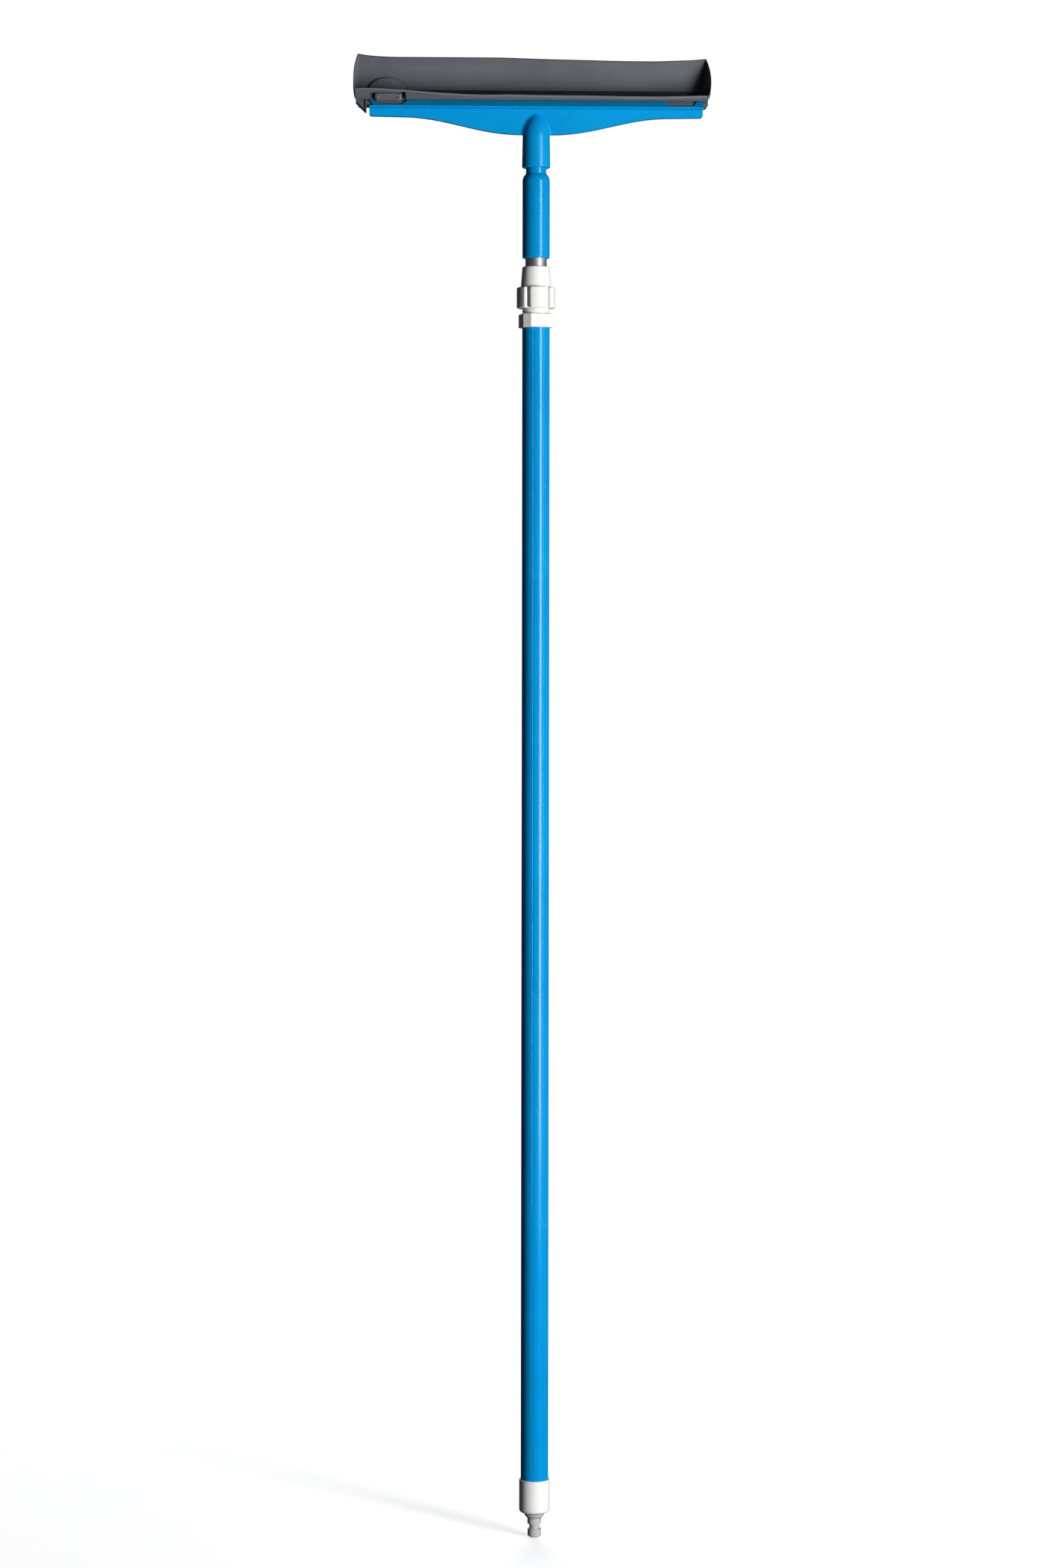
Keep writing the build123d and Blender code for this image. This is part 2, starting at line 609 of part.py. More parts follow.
socket_thread_bore = head_thread_root + thread_gap
socket_ridge = screw_ridge(
    head_thread_root,
    head_thread_crest,
    head_thread_pitch,
    socket_bottom + socket_entry_depth / 2,
    socket_top - gasket_thickness,
    spare=thread_gap,
)
web_bottom_low = socket_bottom + web_low
web_bottom_high = socket_bottom + web_high
dome_bottom = web_bottom_low - dome_lead
dome_height = socket_bottom + dome_top - dome_bottom
blank_top = channel_base + 3 * web_flare  # the web's blank, cut back once the flare is on
with BuildPart() as squeegee_frame:
    with BuildSketch(Plane.XZ):
        with BuildLine():
            Line((web_curve_start, web_bottom_low), (-web_curve_start, web_bottom_low))
            for side in (1, -1):
                Spline(
                    (side * web_curve_start, web_bottom_low),
                    (side * web_curve_end, web_bottom_high - web_end_rise),
                    tangents=((side, 0), (side, web_end_slope)),
                )
                Polyline(
                    (side * web_curve_end, web_bottom_high - web_end_rise),
                    (side * web_half_length, web_bottom_high),
                    (side * web_half_length, blank_top),
                )
            Line((web_half_length, blank_top), (-web_half_length, blank_top))
        make_face()
    extrude(amount=web_thickness / 2, both=True)
    web_corners = squeegee_frame.edges().filter_by(Axis.Y).filter_by(
        lambda edge: abs(edge.center().X) > web_half_length - 1 and edge.center().Z < channel_base - 1
    )
    fillet(web_corners, web_corner)
    with BuildSketch(Plane.XZ):
        with BuildLine():
            Polyline(
                (0, dome_bottom + dome_height),
                (0, socket_bottom),
                (socket_mouth_radius, socket_bottom),
                (socket_radius, dome_bottom),
            )
            TangentArc((socket_radius, dome_bottom), (0, dome_bottom + dome_height), tangent=(0, 1))
        make_face()
    revolve(axis=Axis.Z)
    flare_edges = squeegee_frame.edges().filter_by(
        lambda edge: abs(abs(edge.center().Y) - web_thickness / 2) < 1
        and abs(edge.center().X) < socket_radius + 2
        and web_bottom_low + 1 < edge.center().Z < blank_top - 1
    )
    fillet(flare_edges, web_flare)
    with BuildSketch(Plane.XY.offset(channel_base)):
        Rectangle(2 * web_half_length, 2 * web_half_length)
    extrude(amount=blank_top - channel_base, mode=Mode.SUBTRACT)
    mouth = squeegee_frame.edges().filter_by(GeomType.CIRCLE).sort_by(Axis.Z)[0]
    fillet(mouth, socket_mouth_round)
    # The channel: floor with its ledges, two walls and their inward lips.
    with BuildSketch(Plane.YZ.offset(-web_half_length)):
        ledge = channel_half_width + ledge_overhang
        lip_bottom_height = channel_top - channel_lip
        with BuildLine():
            Polyline(
                (0, channel_base),
                (ledge, channel_base),
                (ledge, channel_deck),
                (channel_half_width, channel_deck),
                (channel_half_width - channel_lean, channel_top),
                (lip_gap_half, channel_top),
                (lip_gap_half, lip_bottom_height),
                (channel_inner_half, lip_bottom_height),
                (channel_inner_half, channel_deck),
                (0, channel_deck),
                close=True,
            )
        make_face()
        mirror(about=Plane.YZ)
    extrude(amount=2 * web_half_length)
    # The latch notches near both ends of both walls, and the slanted left end of the walls.
    notch_bottom = channel_deck + notch_floor
    with BuildSketch(Plane.XZ) as notches:
        for side in (1, -1):
            with BuildLine():
                Polyline(
                    (side * (notch_inner - notch_inner_slope), channel_top),
                    (side * notch_inner, notch_bottom),
                    (side * notch_outer, notch_bottom),
                    (side * (notch_outer + notch_outer_slope), channel_top),
                    close=True,
                )
            make_face()
        fillet(notches.vertices().group_by(Axis.Y)[0], notch_round)
        with BuildLine():
            Polyline(
                (-web_half_length, channel_top),
                (-web_half_length + channel_end_cut, channel_deck),
                (-web_half_length, channel_deck),
                close=True,
            )
        make_face()
    extrude(amount=channel_half_width, both=True, mode=Mode.SUBTRACT)
    cut_bore(socket_entry_radius, socket_bottom, socket_bottom + socket_entry_depth)
    cut_bore(socket_thread_bore, socket_bottom, socket_top)
    add(socket_ridge, mode=Mode.SUBTRACT)
    cut_bore(drain_radius, socket_bottom, channel_deck)
squeegee_frame.part.label = "squeegee_frame"

# ---- Cassette -----------------------------------------------------------------------------
rail_left = cassette_offset - rail_half_length
rail_right = cassette_offset + rail_half_length
block_bottom = channel_base - rail_block_drop
with BuildPart() as cassette_rail:
    with BuildSketch(Plane.YZ.offset(rail_left)):
        foot = channel_inner_half - rail_gap
        neck = lip_gap_half - rail_gap
        foot_top = channel_top - channel_lip - rail_gap
        with BuildLine():
            Polyline(
                (foot, rail_bottom),
                (foot, foot_top),
                (neck, foot_top),
                (neck, rail_plate_bottom),
                (rail_plate_back, rail_plate_bottom),
                (rail_plate_back, trough_bottom),
                (rail_plate_front, trough_bottom),
                (rail_plate_front, rail_plate_bottom),
                (-neck, rail_plate_bottom),
                (-neck, foot_top),
                (-foot, foot_top),
                (-foot, rail_bottom),
                close=True,
            )
        make_face()
    extrude(amount=rail_right - rail_left)
    fillet(cassette_rail.faces().sort_by(Axis.X)[-1].edges().sort_by(Axis.Z)[0], rail_end_round)
    # The end block that stops the cassette against the frame's left end, with a slot down its front.
    block_left = rail_left - rail_block_reach
    block_right = -web_half_length - rail_block_gap
    with BuildSketch(Plane.XZ.offset(-rail_plate_back)):
        with BuildLine():
            Polyline(
                (block_right, block_bottom),
                (block_right, trough_bottom),
                (block_left, trough_bottom),
                (block_left, block_bottom + rail_block_chamfer),
                (block_left + rail_block_chamfer, block_bottom),
                close=True,
            )
        make_face()
    extrude(amount=rail_plate_back - rail_plate_front)
    slot_right = block_right - rail_block_flange
    with BuildSketch(Plane.XY.offset(block_bottom)):
        with Locations((slot_right - rail_block_slot / 2, rail_plate_front)):
            Rectangle(rail_block_slot, 2 * rail_block_slot_depth)
    extrude(amount=rail_plate_bottom - block_bottom, mode=Mode.SUBTRACT)
    # Room behind each latch pad for its travel.
    pad_room_width = pad_width + 2 * pad_clear
    for plate_edge, inward in ((rail_plate_front, 1), (rail_plate_back, -1)):
        with BuildSketch(Plane.XY.offset(rail_plate_bottom)):
            with Locations((pad_centre, plate_edge + inward * pad_room_depth / 2)):
                Rectangle(pad_room_width, pad_room_depth)
        extrude(amount=rail_plate_thickness, mode=Mode.SUBTRACT)
    cut_bore(rail_drain_radius, rail_bottom, trough_bottom)
    cut_bore(drain_gasket_radius + bond_gap, rail_bottom, rail_bottom + drain_gasket_thickness)
cassette_rail.part.label = "cassette_rail"

with BuildPart() as drain_gasket:
    gasket_low = rail_bottom - rail_gap / 2
    add_ring(drain_gasket_radius, rail_drain_radius, gasket_low, rail_bottom + drain_gasket_thickness)
drain_gasket.part.label = "drain_gasket"

pad_bottom = channel_top - pad_drop
pad_top = pad_bottom + pad_height


lip_bottom = trough_bottom + trough_lip_rise - trough_lip_height
lip_top = trough_bottom + trough_lip_rise
belly = trough_bottom + trough_belly_rise
trough_middle = (trough_bottom + trough_top) / 2
trough_bulge_half = trough_rim_half + trough_bulge
with BuildPart() as collector_trough:
    # The front outline, with its ends bulging outward.
    with BuildSketch(Plane.XZ.offset(-trough_belly_y)):
        with BuildLine():
            low_left = (cassette_offset - trough_foot_half, trough_bottom)
            low_right = (cassette_offset + trough_foot_half, trough_bottom)
            high_left = (cassette_offset - trough_rim_half, trough_top)
            high_right = (cassette_offset + trough_rim_half, trough_top)
            Line(low_left, low_right)
            ThreePointArc(low_right, (cassette_offset + trough_bulge_half, trough_middle), high_right)
            Line(high_right, high_left)
            ThreePointArc(high_left, (cassette_offset - trough_bulge_half, trough_middle), low_left)
        make_face()
    extrude(amount=trough_belly_y - trough_lip_y)
    # The side profile: floor, flap up to the low lip, and the tall back blade.
    with BuildSketch(Plane.YZ.offset(cassette_offset)):
        with BuildLine():
            Polyline(
                (trough_back_y, trough_top),
                (trough_lip_y, lip_top),
                (trough_lip_y, lip_bottom),
                (rail_plate_front, trough_bottom),
                (rail_plate_back, trough_bottom),
            )
            back_bottom = (rail_plate_back, trough_bottom)
            ThreePointArc(back_bottom, (trough_belly_y, belly), (trough_back_y, trough_top))
        make_face()
    extrude(amount=trough_rim_half + 2 * trough_bulge, both=True, mode=Mode.INTERSECT)
    # The hollow inside.
    with BuildSketch(Plane.YZ.offset(cassette_offset)):
        with BuildLine():
            floor_top = trough_bottom + trough_floor
            inner_back = rail_plate_back - trough_wall
            rim_y = trough_back_y - trough_wall / 2
            flap_corner = (rail_plate_front + trough_flap_ease, floor_top)
            flap_top = (trough_lip_y + trough_wall / 2, lip_top + trough_lip_ease)
            Polyline(
                (rim_y, trough_top + cut_over),
                (trough_lip_y - cut_over, trough_top + cut_over),
                (trough_lip_y - cut_over, lip_top + trough_lip_ease),
                flap_top,
                flap_corner,
                (inner_back, floor_top),
            )
            ThreePointArc(
                (inner_back, floor_top), (trough_belly_y - trough_wall, belly), (rim_y, trough_top + cut_over)
            )
        make_face()
    extrude(amount=trough_foot_half - trough_wall, both=True, mode=Mode.SUBTRACT)
    # The thumb recess behind the back pad shows inside as a bump.
    bump_centre = (pad_centre, trough_bottom)
    with BuildSketch(Plane.XZ.offset(-(rail_plate_back + trough_wall))):
        with Locations(bump_centre):
            Ellipse(thumb_bump_width / 2, thumb_bump_rise)
            Rectangle(
                thumb_bump_width, thumb_bump_rise, align=(Align.CENTER, Align.MAX), mode=Mode.SUBTRACT
            )
            Rectangle(thumb_bump_width, 2 * trough_floor, align=(Align.CENTER, Align.MIN), mode=Mode.SUBTRACT)
    extrude(amount=trough_wall + thumb_bump_depth)
    with BuildSketch(Plane.XZ.offset(-(trough_belly_y + cut_over))):
        with Locations(bump_centre):
            Ellipse(thumb_bump_width / 2 - trough_wall, thumb_bump_rise - trough_wall)
    bump_hollow = trough_belly_y + cut_over - rail_plate_back + thumb_bump_depth - trough_wall
    extrude(amount=bump_hollow, mode=Mode.SUBTRACT)
    # The gap in the flap for the front pad and its travel, under the lip.
    with BuildSketch(Plane.XZ.offset(-(rail_plate_front + pad_room_depth))):
        with Locations((pad_centre, trough_bottom - cut_over)):
            opening_height = pad_top + pad_gap - trough_bottom + cut_over
            Rectangle(pad_room_width, opening_height, align=(Align.CENTER, Align.MIN))
    extrude(amount=pad_room_depth - trough_lip_y, mode=Mode.SUBTRACT)
    cut_bore(trough_drain_radius, trough_bottom, trough_bottom + trough_floor)
collector_trough.part.label = "collector_trough"


def latch_pad(outward):
    """Build one convex latch pad that stands just clear of the channel's wall."""
    face = outward * pad_face
    with BuildPart() as pad:
        with BuildSketch(Plane.XY.offset(pad_bottom)):
            left = (pad_centre - pad_width / 2, face)
            right = (pad_centre + pad_width / 2, face)
            with BuildLine():
                Line(left, right)
                shoulder = face + outward * (pad_depth - pad_crown)
                Line(right, (right[0], shoulder))
                ThreePointArc(
                    (right[0], shoulder), (pad_centre, face + outward * pad_depth), (left[0], shoulder)
                )
                Line((left[0], shoulder), left)
            make_face()
        extrude(amount=pad_height)
        bottom_edges = pad.faces().sort_by(Axis.Z)[0].edges()
        chamfer(bottom_edges.filter_by(Axis.Y), pad_lower_chamfer)
        top_edges = pad.faces().sort_by(Axis.Z)[-1].edges()
        fillet(top_edges.sort_by(Axis.Y)[0 if outward < 0 else -1], pad_round)
    return pad.part


latch_pad_front = latch_pad(-1)
latch_pad_front.label = "latch_pad_front"
latch_pad_back = latch_pad(1)
latch_pad_back.label = "latch_pad_back"

# ---- Write one file for each piece --------------------------------------------------------
pieces = [
    hose_nipple.part,
    nipple_washer.part,
    end_cap.part,
    end_plug.part,
    end_plug_ring.part,
    outer_tube.part,
    outer_sleeve.part,
    clamp_body.part,
    guide_bush.part,
    clamp_seal.part,
    lock_collet.part,
    lock_nut.part,
    wiper_ring.part,
    slide_guide.part,
    *slide_rings,
    inner_tube.part,
    handle_tip.part,
    tip_ring.part,
    socket_gasket.part,
    squeegee_frame.part,
    cassette_rail.part,
    drain_gasket.part,
    collector_trough.part,
    latch_pad_front,
    latch_pad_back,
]
os.makedirs("parts", exist_ok=True)
for piece in pieces:
    export_step(piece, f"parts/{piece.label}.step")
    print(piece.label, round(piece.volume), "mm3", "valid" if piece.is_valid else "NOT VALID")
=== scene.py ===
"""Looks, studio and camera for a water-fed telescopic pole with a trough squeegee head.

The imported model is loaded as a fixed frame. This script dresses its rigid pieces with procedural
finishes, and builds the soft trough and its latch pads as meshes of their own. Lengths are metres.
"""

from __future__ import annotations

import logging
import math
from dataclasses import dataclass, field
from enum import Enum
from typing import Any, Iterable, Sequence

import bmesh
import bpy
import numpy as np
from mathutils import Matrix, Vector


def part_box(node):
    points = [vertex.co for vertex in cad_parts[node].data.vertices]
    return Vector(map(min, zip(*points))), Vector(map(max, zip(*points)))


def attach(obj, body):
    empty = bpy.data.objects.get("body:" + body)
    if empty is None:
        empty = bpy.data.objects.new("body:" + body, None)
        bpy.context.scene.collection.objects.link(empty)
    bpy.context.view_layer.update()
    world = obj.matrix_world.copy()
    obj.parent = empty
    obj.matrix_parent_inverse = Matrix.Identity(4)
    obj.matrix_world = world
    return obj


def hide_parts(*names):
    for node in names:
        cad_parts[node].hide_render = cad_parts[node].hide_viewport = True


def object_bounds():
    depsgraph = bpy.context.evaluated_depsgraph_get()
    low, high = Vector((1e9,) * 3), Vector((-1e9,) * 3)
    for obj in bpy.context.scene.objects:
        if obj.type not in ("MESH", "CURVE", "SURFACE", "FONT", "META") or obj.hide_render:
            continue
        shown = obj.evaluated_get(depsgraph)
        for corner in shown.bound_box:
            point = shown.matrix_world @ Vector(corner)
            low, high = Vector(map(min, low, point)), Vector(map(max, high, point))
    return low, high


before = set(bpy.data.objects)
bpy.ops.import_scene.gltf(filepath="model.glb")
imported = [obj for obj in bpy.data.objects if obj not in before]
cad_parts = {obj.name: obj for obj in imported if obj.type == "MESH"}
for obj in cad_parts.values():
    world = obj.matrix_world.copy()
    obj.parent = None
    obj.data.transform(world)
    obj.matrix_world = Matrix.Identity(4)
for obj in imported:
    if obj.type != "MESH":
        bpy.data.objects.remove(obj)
CAD_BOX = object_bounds()
MM = 0.001
LOG = logging.getLogger("pole")

Colour = tuple[float, float, float]


# ---- Shader graphs --------------------------------------------------------------------------
class Signal:
    """A value, colour or vector that travels through a shader graph.

    Arithmetic on a signal adds the Math node that works it out.
    """

    def __init__(self, graph: "Graph", socket: Any) -> None:
        """Wrap one output socket of a graph."""
        self.graph = graph
        self.socket = socket

    def _math(self, operation: str, first: Any, second: Any) -> "Signal":
        """Add a Math node for two values."""
        return self.graph.node("ShaderNodeMath", {"operation": operation}, {0: first, 1: second})

    def __add__(self, other: Any) -> "Signal":
        """Sum."""
        return self._math("ADD", self, other)

    def __radd__(self, other: Any) -> "Signal":
        """Reflected sum."""
        return self._math("ADD", other, self)

    def __sub__(self, other: Any) -> "Signal":
        """Difference."""
        return self._math("SUBTRACT", self, other)

    def __rsub__(self, other: Any) -> "Signal":
        """Reflected difference."""
        return self._math("SUBTRACT", other, self)

    def __mul__(self, other: Any) -> "Signal":
        """Product."""
        return self._math("MULTIPLY", self, other)

    def __rmul__(self, other: Any) -> "Signal":
        """Reflected product."""
        return self._math("MULTIPLY", other, self)

    def __pow__(self, other: Any) -> "Signal":
        """Power."""
        return self._math("POWER", self, other)

    def within(self, low: float, high: float) -> "Signal":
        """Return a smooth 0 to 1 step of this value between two limits (high may be the lower one)."""
        settings = {"interpolation_type": "SMOOTHSTEP"}
        if low < high:
            return self.graph.node("ShaderNodeMapRange", settings, {0: self, 1: low, 2: high})
        return 1 - self.graph.node("ShaderNodeMapRange", settings, {0: self, 1: high, 2: low})


class Graph:
    """A material's node tree with one Principled shader at its end."""

    def __init__(self, name: str) -> None:
        """Start a new material.

        Args:
            name: The material's name.
        """
        self.material = bpy.data.materials.new(name)
        self.material.use_nodes = True
        self.tree = self.material.node_tree
        self.tree.nodes.clear()
        self.output = self.tree.nodes.new("ShaderNodeOutputMaterial")
        self.shader = self.tree.nodes.new("ShaderNodeBsdfPrincipled")
        self.tree.links.new(self.shader.outputs[0], self.output.inputs["Surface"])

    def feed(self, socket: Any, value: Any) -> None:
        """Link a signal to a socket, or set the socket's own value."""
        if isinstance(value, Signal):
            self.tree.links.new(value.socket, socket)
        elif isinstance(value, tuple) and len(value) == 3 and socket.type == "RGBA":
            socket.default_value = (*value, 1.0)
        else:
            socket.default_value = value

    def node(self, kind: str, settings: dict[str, Any], inputs: dict[Any, Any], out: Any = 0) -> Signal:
        """Add any node.

        Args:
            kind: The node's type.
            settings: Its properties, set first. "stops" holds a ramp's (position, colour) pairs.
            inputs: Values or signals for its sockets, by index or name.
            out: The output to return.

        Returns:
            The chosen output as a signal.
        """
        made = self.tree.nodes.new(kind)
        for key, value in settings.items():
            if key == "stops":
                ramp = made.color_ramp.elements
                while len(ramp) < len(value):
                    ramp.new(0.5)
                for stop, (position, colour) in zip(ramp, value):
                    stop.position = position
                    stop.color = (*colour, 1.0)
            else:
                setattr(made, key, value)
        for key, value in inputs.items():
            self.feed(made.inputs[key], value)
        return Signal(self, made.outputs[out])

    def place(self, stretch: Colour = (1.0, 1.0, 1.0)) -> Signal:
        """Return the piece's own coordinates in metres, stretched along each axis."""
        spot = self.node("ShaderNodeTexCoord", {}, {}, "Object")
        return self.node("ShaderNodeVectorMath", {"operation": "MULTIPLY"}, {0: spot, 1: stretch})

    def noise(self, scale: float, detail: float = 3.0, stretch: Colour = (1.0, 1.0, 1.0)) -> Signal:
        """Return a noise value between 0 and 1."""
        inputs = {"Vector": self.place(stretch), "Scale": scale, "Detail": detail}
        return self.node("ShaderNodeTexNoise", {}, inputs, "Fac")

    def blend(self, amount: Any, first: Any, second: Any) -> Signal:
        """Mix two colours."""
        settings = {"data_type": "RGBA"}
        return self.node("ShaderNodeMix", settings, {0: amount, 6: first, 7: second}, 2)

    def bump(self, height: Signal, distance: float, strength: float = 1.0) -> Signal:
        """Return a normal bent by a height field of the given depth in metres."""
        inputs = {"Height": height, "Distance": distance, "Strength": strength}
        return self.node("ShaderNodeBump", {}, inputs)

    def scratches(self, scale: float, turn: float, rarity: float) -> Signal:
        """Return thin, broken, slightly bent lines as a 0 to 1 mask.

        Args:
            scale: Lines per metre, roughly.
            turn: The lines' direction in the front plane, in radians.
            rarity: How rare they are, from 0 to 1.
        """
        around = {"rotation_type": "Y_AXIS"}
        turned = self.node("ShaderNodeVectorRotate", around, {0: self.place(), "Angle": turn})
        bands = {"Vector": turned, "Scale": scale, "Distortion": 9.0, "Detail": 1.0, "Detail Scale": 0.35}
        wave = self.node("ShaderNodeTexWave", {"bands_direction": "X"}, bands, "Fac")
        gate = self.noise(scale * 0.9 + 20 * turn, 1.0).within(rarity, rarity + 0.06)
        return wave.within(0.992, 1.0) * gate

    def finish(self, **values: Any) -> bpy.types.Material:
        """Feed the Principled shader's sockets by name and return the material."""
        for name, value in values.items():
            self.feed(self.shader.inputs[name.replace("_", " ")], value)
        return self.material


# ---- Finishes -------------------------------------------------------------------------------
class Grain(Enum):
    """Which way a plastic's fine marks run."""

    NONE = (1.0, 1.0, 1.0)
    LENGTHWISE = (1.0, 1.0, 0.02)


@dataclass(frozen=True)
class MouldedPlastic:
    """A moulded or extruded plastic skin with fine texture, uneven gloss, light scuffs and scratches, and
    optional painted shade above a height.

    The depths and scales are in metres and per metre.
    """

    name: str
    colour: Colour
    deep: Colour
    roughness: float = 0.3
    unevenness: float = 0.12
    grain: Grain = Grain.NONE
    grain_scale: float = 1100.0
    grain_depth: float = 0.00002
    scuff: Colour = (0.6, 0.6, 0.6)
    scuff_amount: float = 0.25
    coat: float = 0.0
    translucence: float = 0.0
    # Painted shade: when set, the colour darkens to half the deep tone above this height in metres.
    painted_shade_above: float | None = None

    def build(self) -> bpy.types.Material:
        """Make the material."""
        g = Graph(self.name)
        cloud = g.noise(11.0, 4.0)
        streak = g.noise(420.0, 3.0, self.grain.value)
        fine = g.noise(self.grain_scale, 2.0)
        shade = (cloud * 0.6 + streak * 0.4).within(0.35, 0.7)
        wear = g.scratches(19.0, 0.5, 0.62) + g.scratches(31.0, -1.0, 0.66)
        marks = wear.within(0.0, 1.0) * self.scuff_amount
        colour = g.blend(marks, g.blend(shade, self.deep, self.colour), self.scuff)
        # Painted shade: darker above the given height, standing for the shade on the head's channel walls.
        if self.painted_shade_above is not None:
            height_part = g.node("ShaderNodeSeparateXYZ", {}, {0: g.place()}, 2)
            dim = tuple(0.5 * part for part in self.deep)
            colour = g.blend(height_part.within(self.painted_shade_above - 0.0004, self.painted_shade_above), colour, dim)
        gloss = (streak - 0.5) * self.unevenness + (cloud - 0.5) * self.unevenness + marks * 0.4
        height = fine * 0.6 + streak * 0.4 - marks * 0.8
        return g.finish(
            Base_Color=colour,
            Roughness=gloss + self.roughness,
            Normal=g.bump(height, self.grain_depth),
            Coat_Weight=self.coat,
            Coat_Roughness=0.08,
            Subsurface_Weight=self.translucence,
            Subsurface_Radius=(0.006, 0.006, 0.005),
            Subsurface_Scale=0.5,
            IOR=1.49,
        )


@dataclass(frozen=True)
class DrawnMetal:
    """Bare drawn aluminium with fine lines along or round it and dull patches."""

    name: str
    colour: Colour
    roughness: float = 0.28
    lines: Colour = (1.0, 1.0, 0.01)

    def build(self) -> bpy.types.Material:
        """Make the material."""
        g = Graph(self.name)
        line = g.noise(1500.0, 2.0, self.lines)
        cloud = g.noise(24.0, 4.0)
        dull = tuple(0.72 * part for part in self.colour)
        colour = g.blend(cloud.within(0.35, 0.75), self.colour, dull)
        return g.finish(
            Base_Color=colour,
            Metallic=1.0,
            Roughness=(line - 0.5) * 0.22 + (cloud - 0.5) * 0.12 + self.roughness,
            Normal=g.bump(line, 0.000012),
        )


@dataclass(frozen=True)
class SoftRubber:
    """Moulded rubber: matt, mottled, with a dusty film, wiped streaks and pale scuffs; marks on the mesh
    can add painted shade and a painted highlight.
    """

    name: str
    colour: Colour
    dark: Colour
    # The dusty film's colour, also used for the painted highlight along the trough's lip.
    bloom_and_painted_highlight: Colour
    roughness: float = 0.55
    # When set, marks on the mesh paint a pale highlight along the lip's edge and near-black shade where the
    # trough lies in shade; the next field is that painted shade's colour.
    painted_light_marks: bool = False
    painted_shade_colour: Colour = (0.006, 0.006, 0.007)

    def build(self) -> bpy.types.Material:
        """Make the material."""
        g = Graph(self.name)
        mottle = g.noise(38.0, 5.0, (1.0, 1.0, 0.6))
        patch = g.noise(9.0, 3.0)
        fine = g.noise(1600.0, 2.0)
        wipe = g.noise(70.0, 3.0, (0.12, 1.0, 1.0))
        body = g.blend((mottle * 0.5 + patch * 0.5).within(0.3, 0.72), self.dark, self.colour)
        dust = wipe.within(0.45, 0.8) * 0.10 + patch.within(0.5, 0.75) * 0.06
        body = g.blend(dust, body, self.bloom_and_painted_highlight)
        lines = g.scratches(13.0, 0.35, 0.58) + g.scratches(17.0, -0.9, 0.6) + g.scratches(9.0, 1.3, 0.6)
        marks = lines.within(0.0, 1.0)
        body = g.blend(marks * 0.06, body, self.bloom_and_painted_highlight)
        # Painted light from the mesh's marks: a painted highlight on the lip's edge, then painted shade in
        # the trough's shaded places.
        if self.painted_light_marks:
            wear = g.node("ShaderNodeAttribute", {"attribute_name": "wear"}, {}, "Fac")
            soil = g.node("ShaderNodeAttribute", {"attribute_name": "soil"}, {}, "Fac")
            body = g.blend(wear * 0.55, body, self.bloom_and_painted_highlight)
            body = g.blend(soil * (mottle * 0.2 + 0.8), body, self.painted_shade_colour)
        gloss = (mottle - 0.5) * 0.18 + (wipe - 0.5) * 0.14 + marks * 0.05
        height = fine * 0.5 + mottle * 0.5
        return g.finish(
            Base_Color=body,
            Roughness=gloss + self.roughness,
            Normal=g.bump(height, 0.00006),
            Sheen_Weight=0.12,
            Sheen_Roughness=0.45,
        )


# ---- Mesh helpers ---------------------------------------------------------------------------
def mesh_piece(
    name: str, points: Sequence[Sequence[float]], faces: Iterable[Sequence[int]]
) -> bpy.types.Object:
    """Make a smooth-shaded mesh object in the scene.

    Args:
        name: The piece's name.
        points: Its vertices, in metres.
        faces: Its faces, as vertex numbers.

    Returns:
        The new object.
    """
    mesh = bpy.data.meshes.new(name)
    mesh.from_pydata([tuple(point) for point in points], [], [tuple(face) for face in faces])
    mesh.validate()
    shell = bmesh.new()
    shell.from_mesh(mesh)
    bmesh.ops.remove_doubles(shell, verts=shell.verts, dist=1e-6)
    bmesh.ops.recalc_face_normals(shell, faces=shell.faces)
    if shell.calc_volume(signed=True) < 0:
        bmesh.ops.reverse_faces(shell, faces=shell.faces)
    shell.to_mesh(mesh)
    shell.free()
    mesh.polygons.foreach_set("use_smooth", [True] * len(mesh.polygons))
    piece = bpy.data.objects.new(name, mesh)
    bpy.context.scene.collection.objects.link(piece)
    return piece


def step(value: np.ndarray, low: float, high: float) -> np.ndarray:
    """Return a smooth 0 to 1 step of an array between two limits."""
    part = np.clip((value - low) / (high - low), 0.0, 1.0)
    return part * part * (3 - 2 * part)


# ---- The trough -----------------------------------------------------------------------------
@dataclass(frozen=True)
class EndWall:
    """One end of the trough: where its inner crease and its wall's free edge run, as x in millimetres."""

    side: int
    crease_low: float
    crease_high: float
    edge_lip: float
    edge_middle: float
    edge_top: float
    round_low: float
    round_high: float

    def crease(self, climb: np.ndarray, depth: np.ndarray) -> np.ndarray:
        """Return the crease's x for rows that climb the blade (0 to 1) or cross the floor (0 to 1)."""
        up = self.crease_low + (self.crease_high - self.crease_low) * climb
        inward = step(depth, 0.36, 1.15) / step(np.ones(1), 0.36, 1.15)
        return np.where(depth < 1.0, self.edge_lip + (self.crease_low - self.edge_lip) * inward, up)

    def free_edge(self, run: np.ndarray) -> np.ndarray:
        """Return the free edge's x from the lip (0) to the blade's top (1)."""
        chord = self.edge_lip + (self.edge_top - self.edge_lip) * run
        belly = self.edge_middle - (self.edge_lip + self.edge_top) / 2
        return chord + belly * 4 * run * (1 - run)


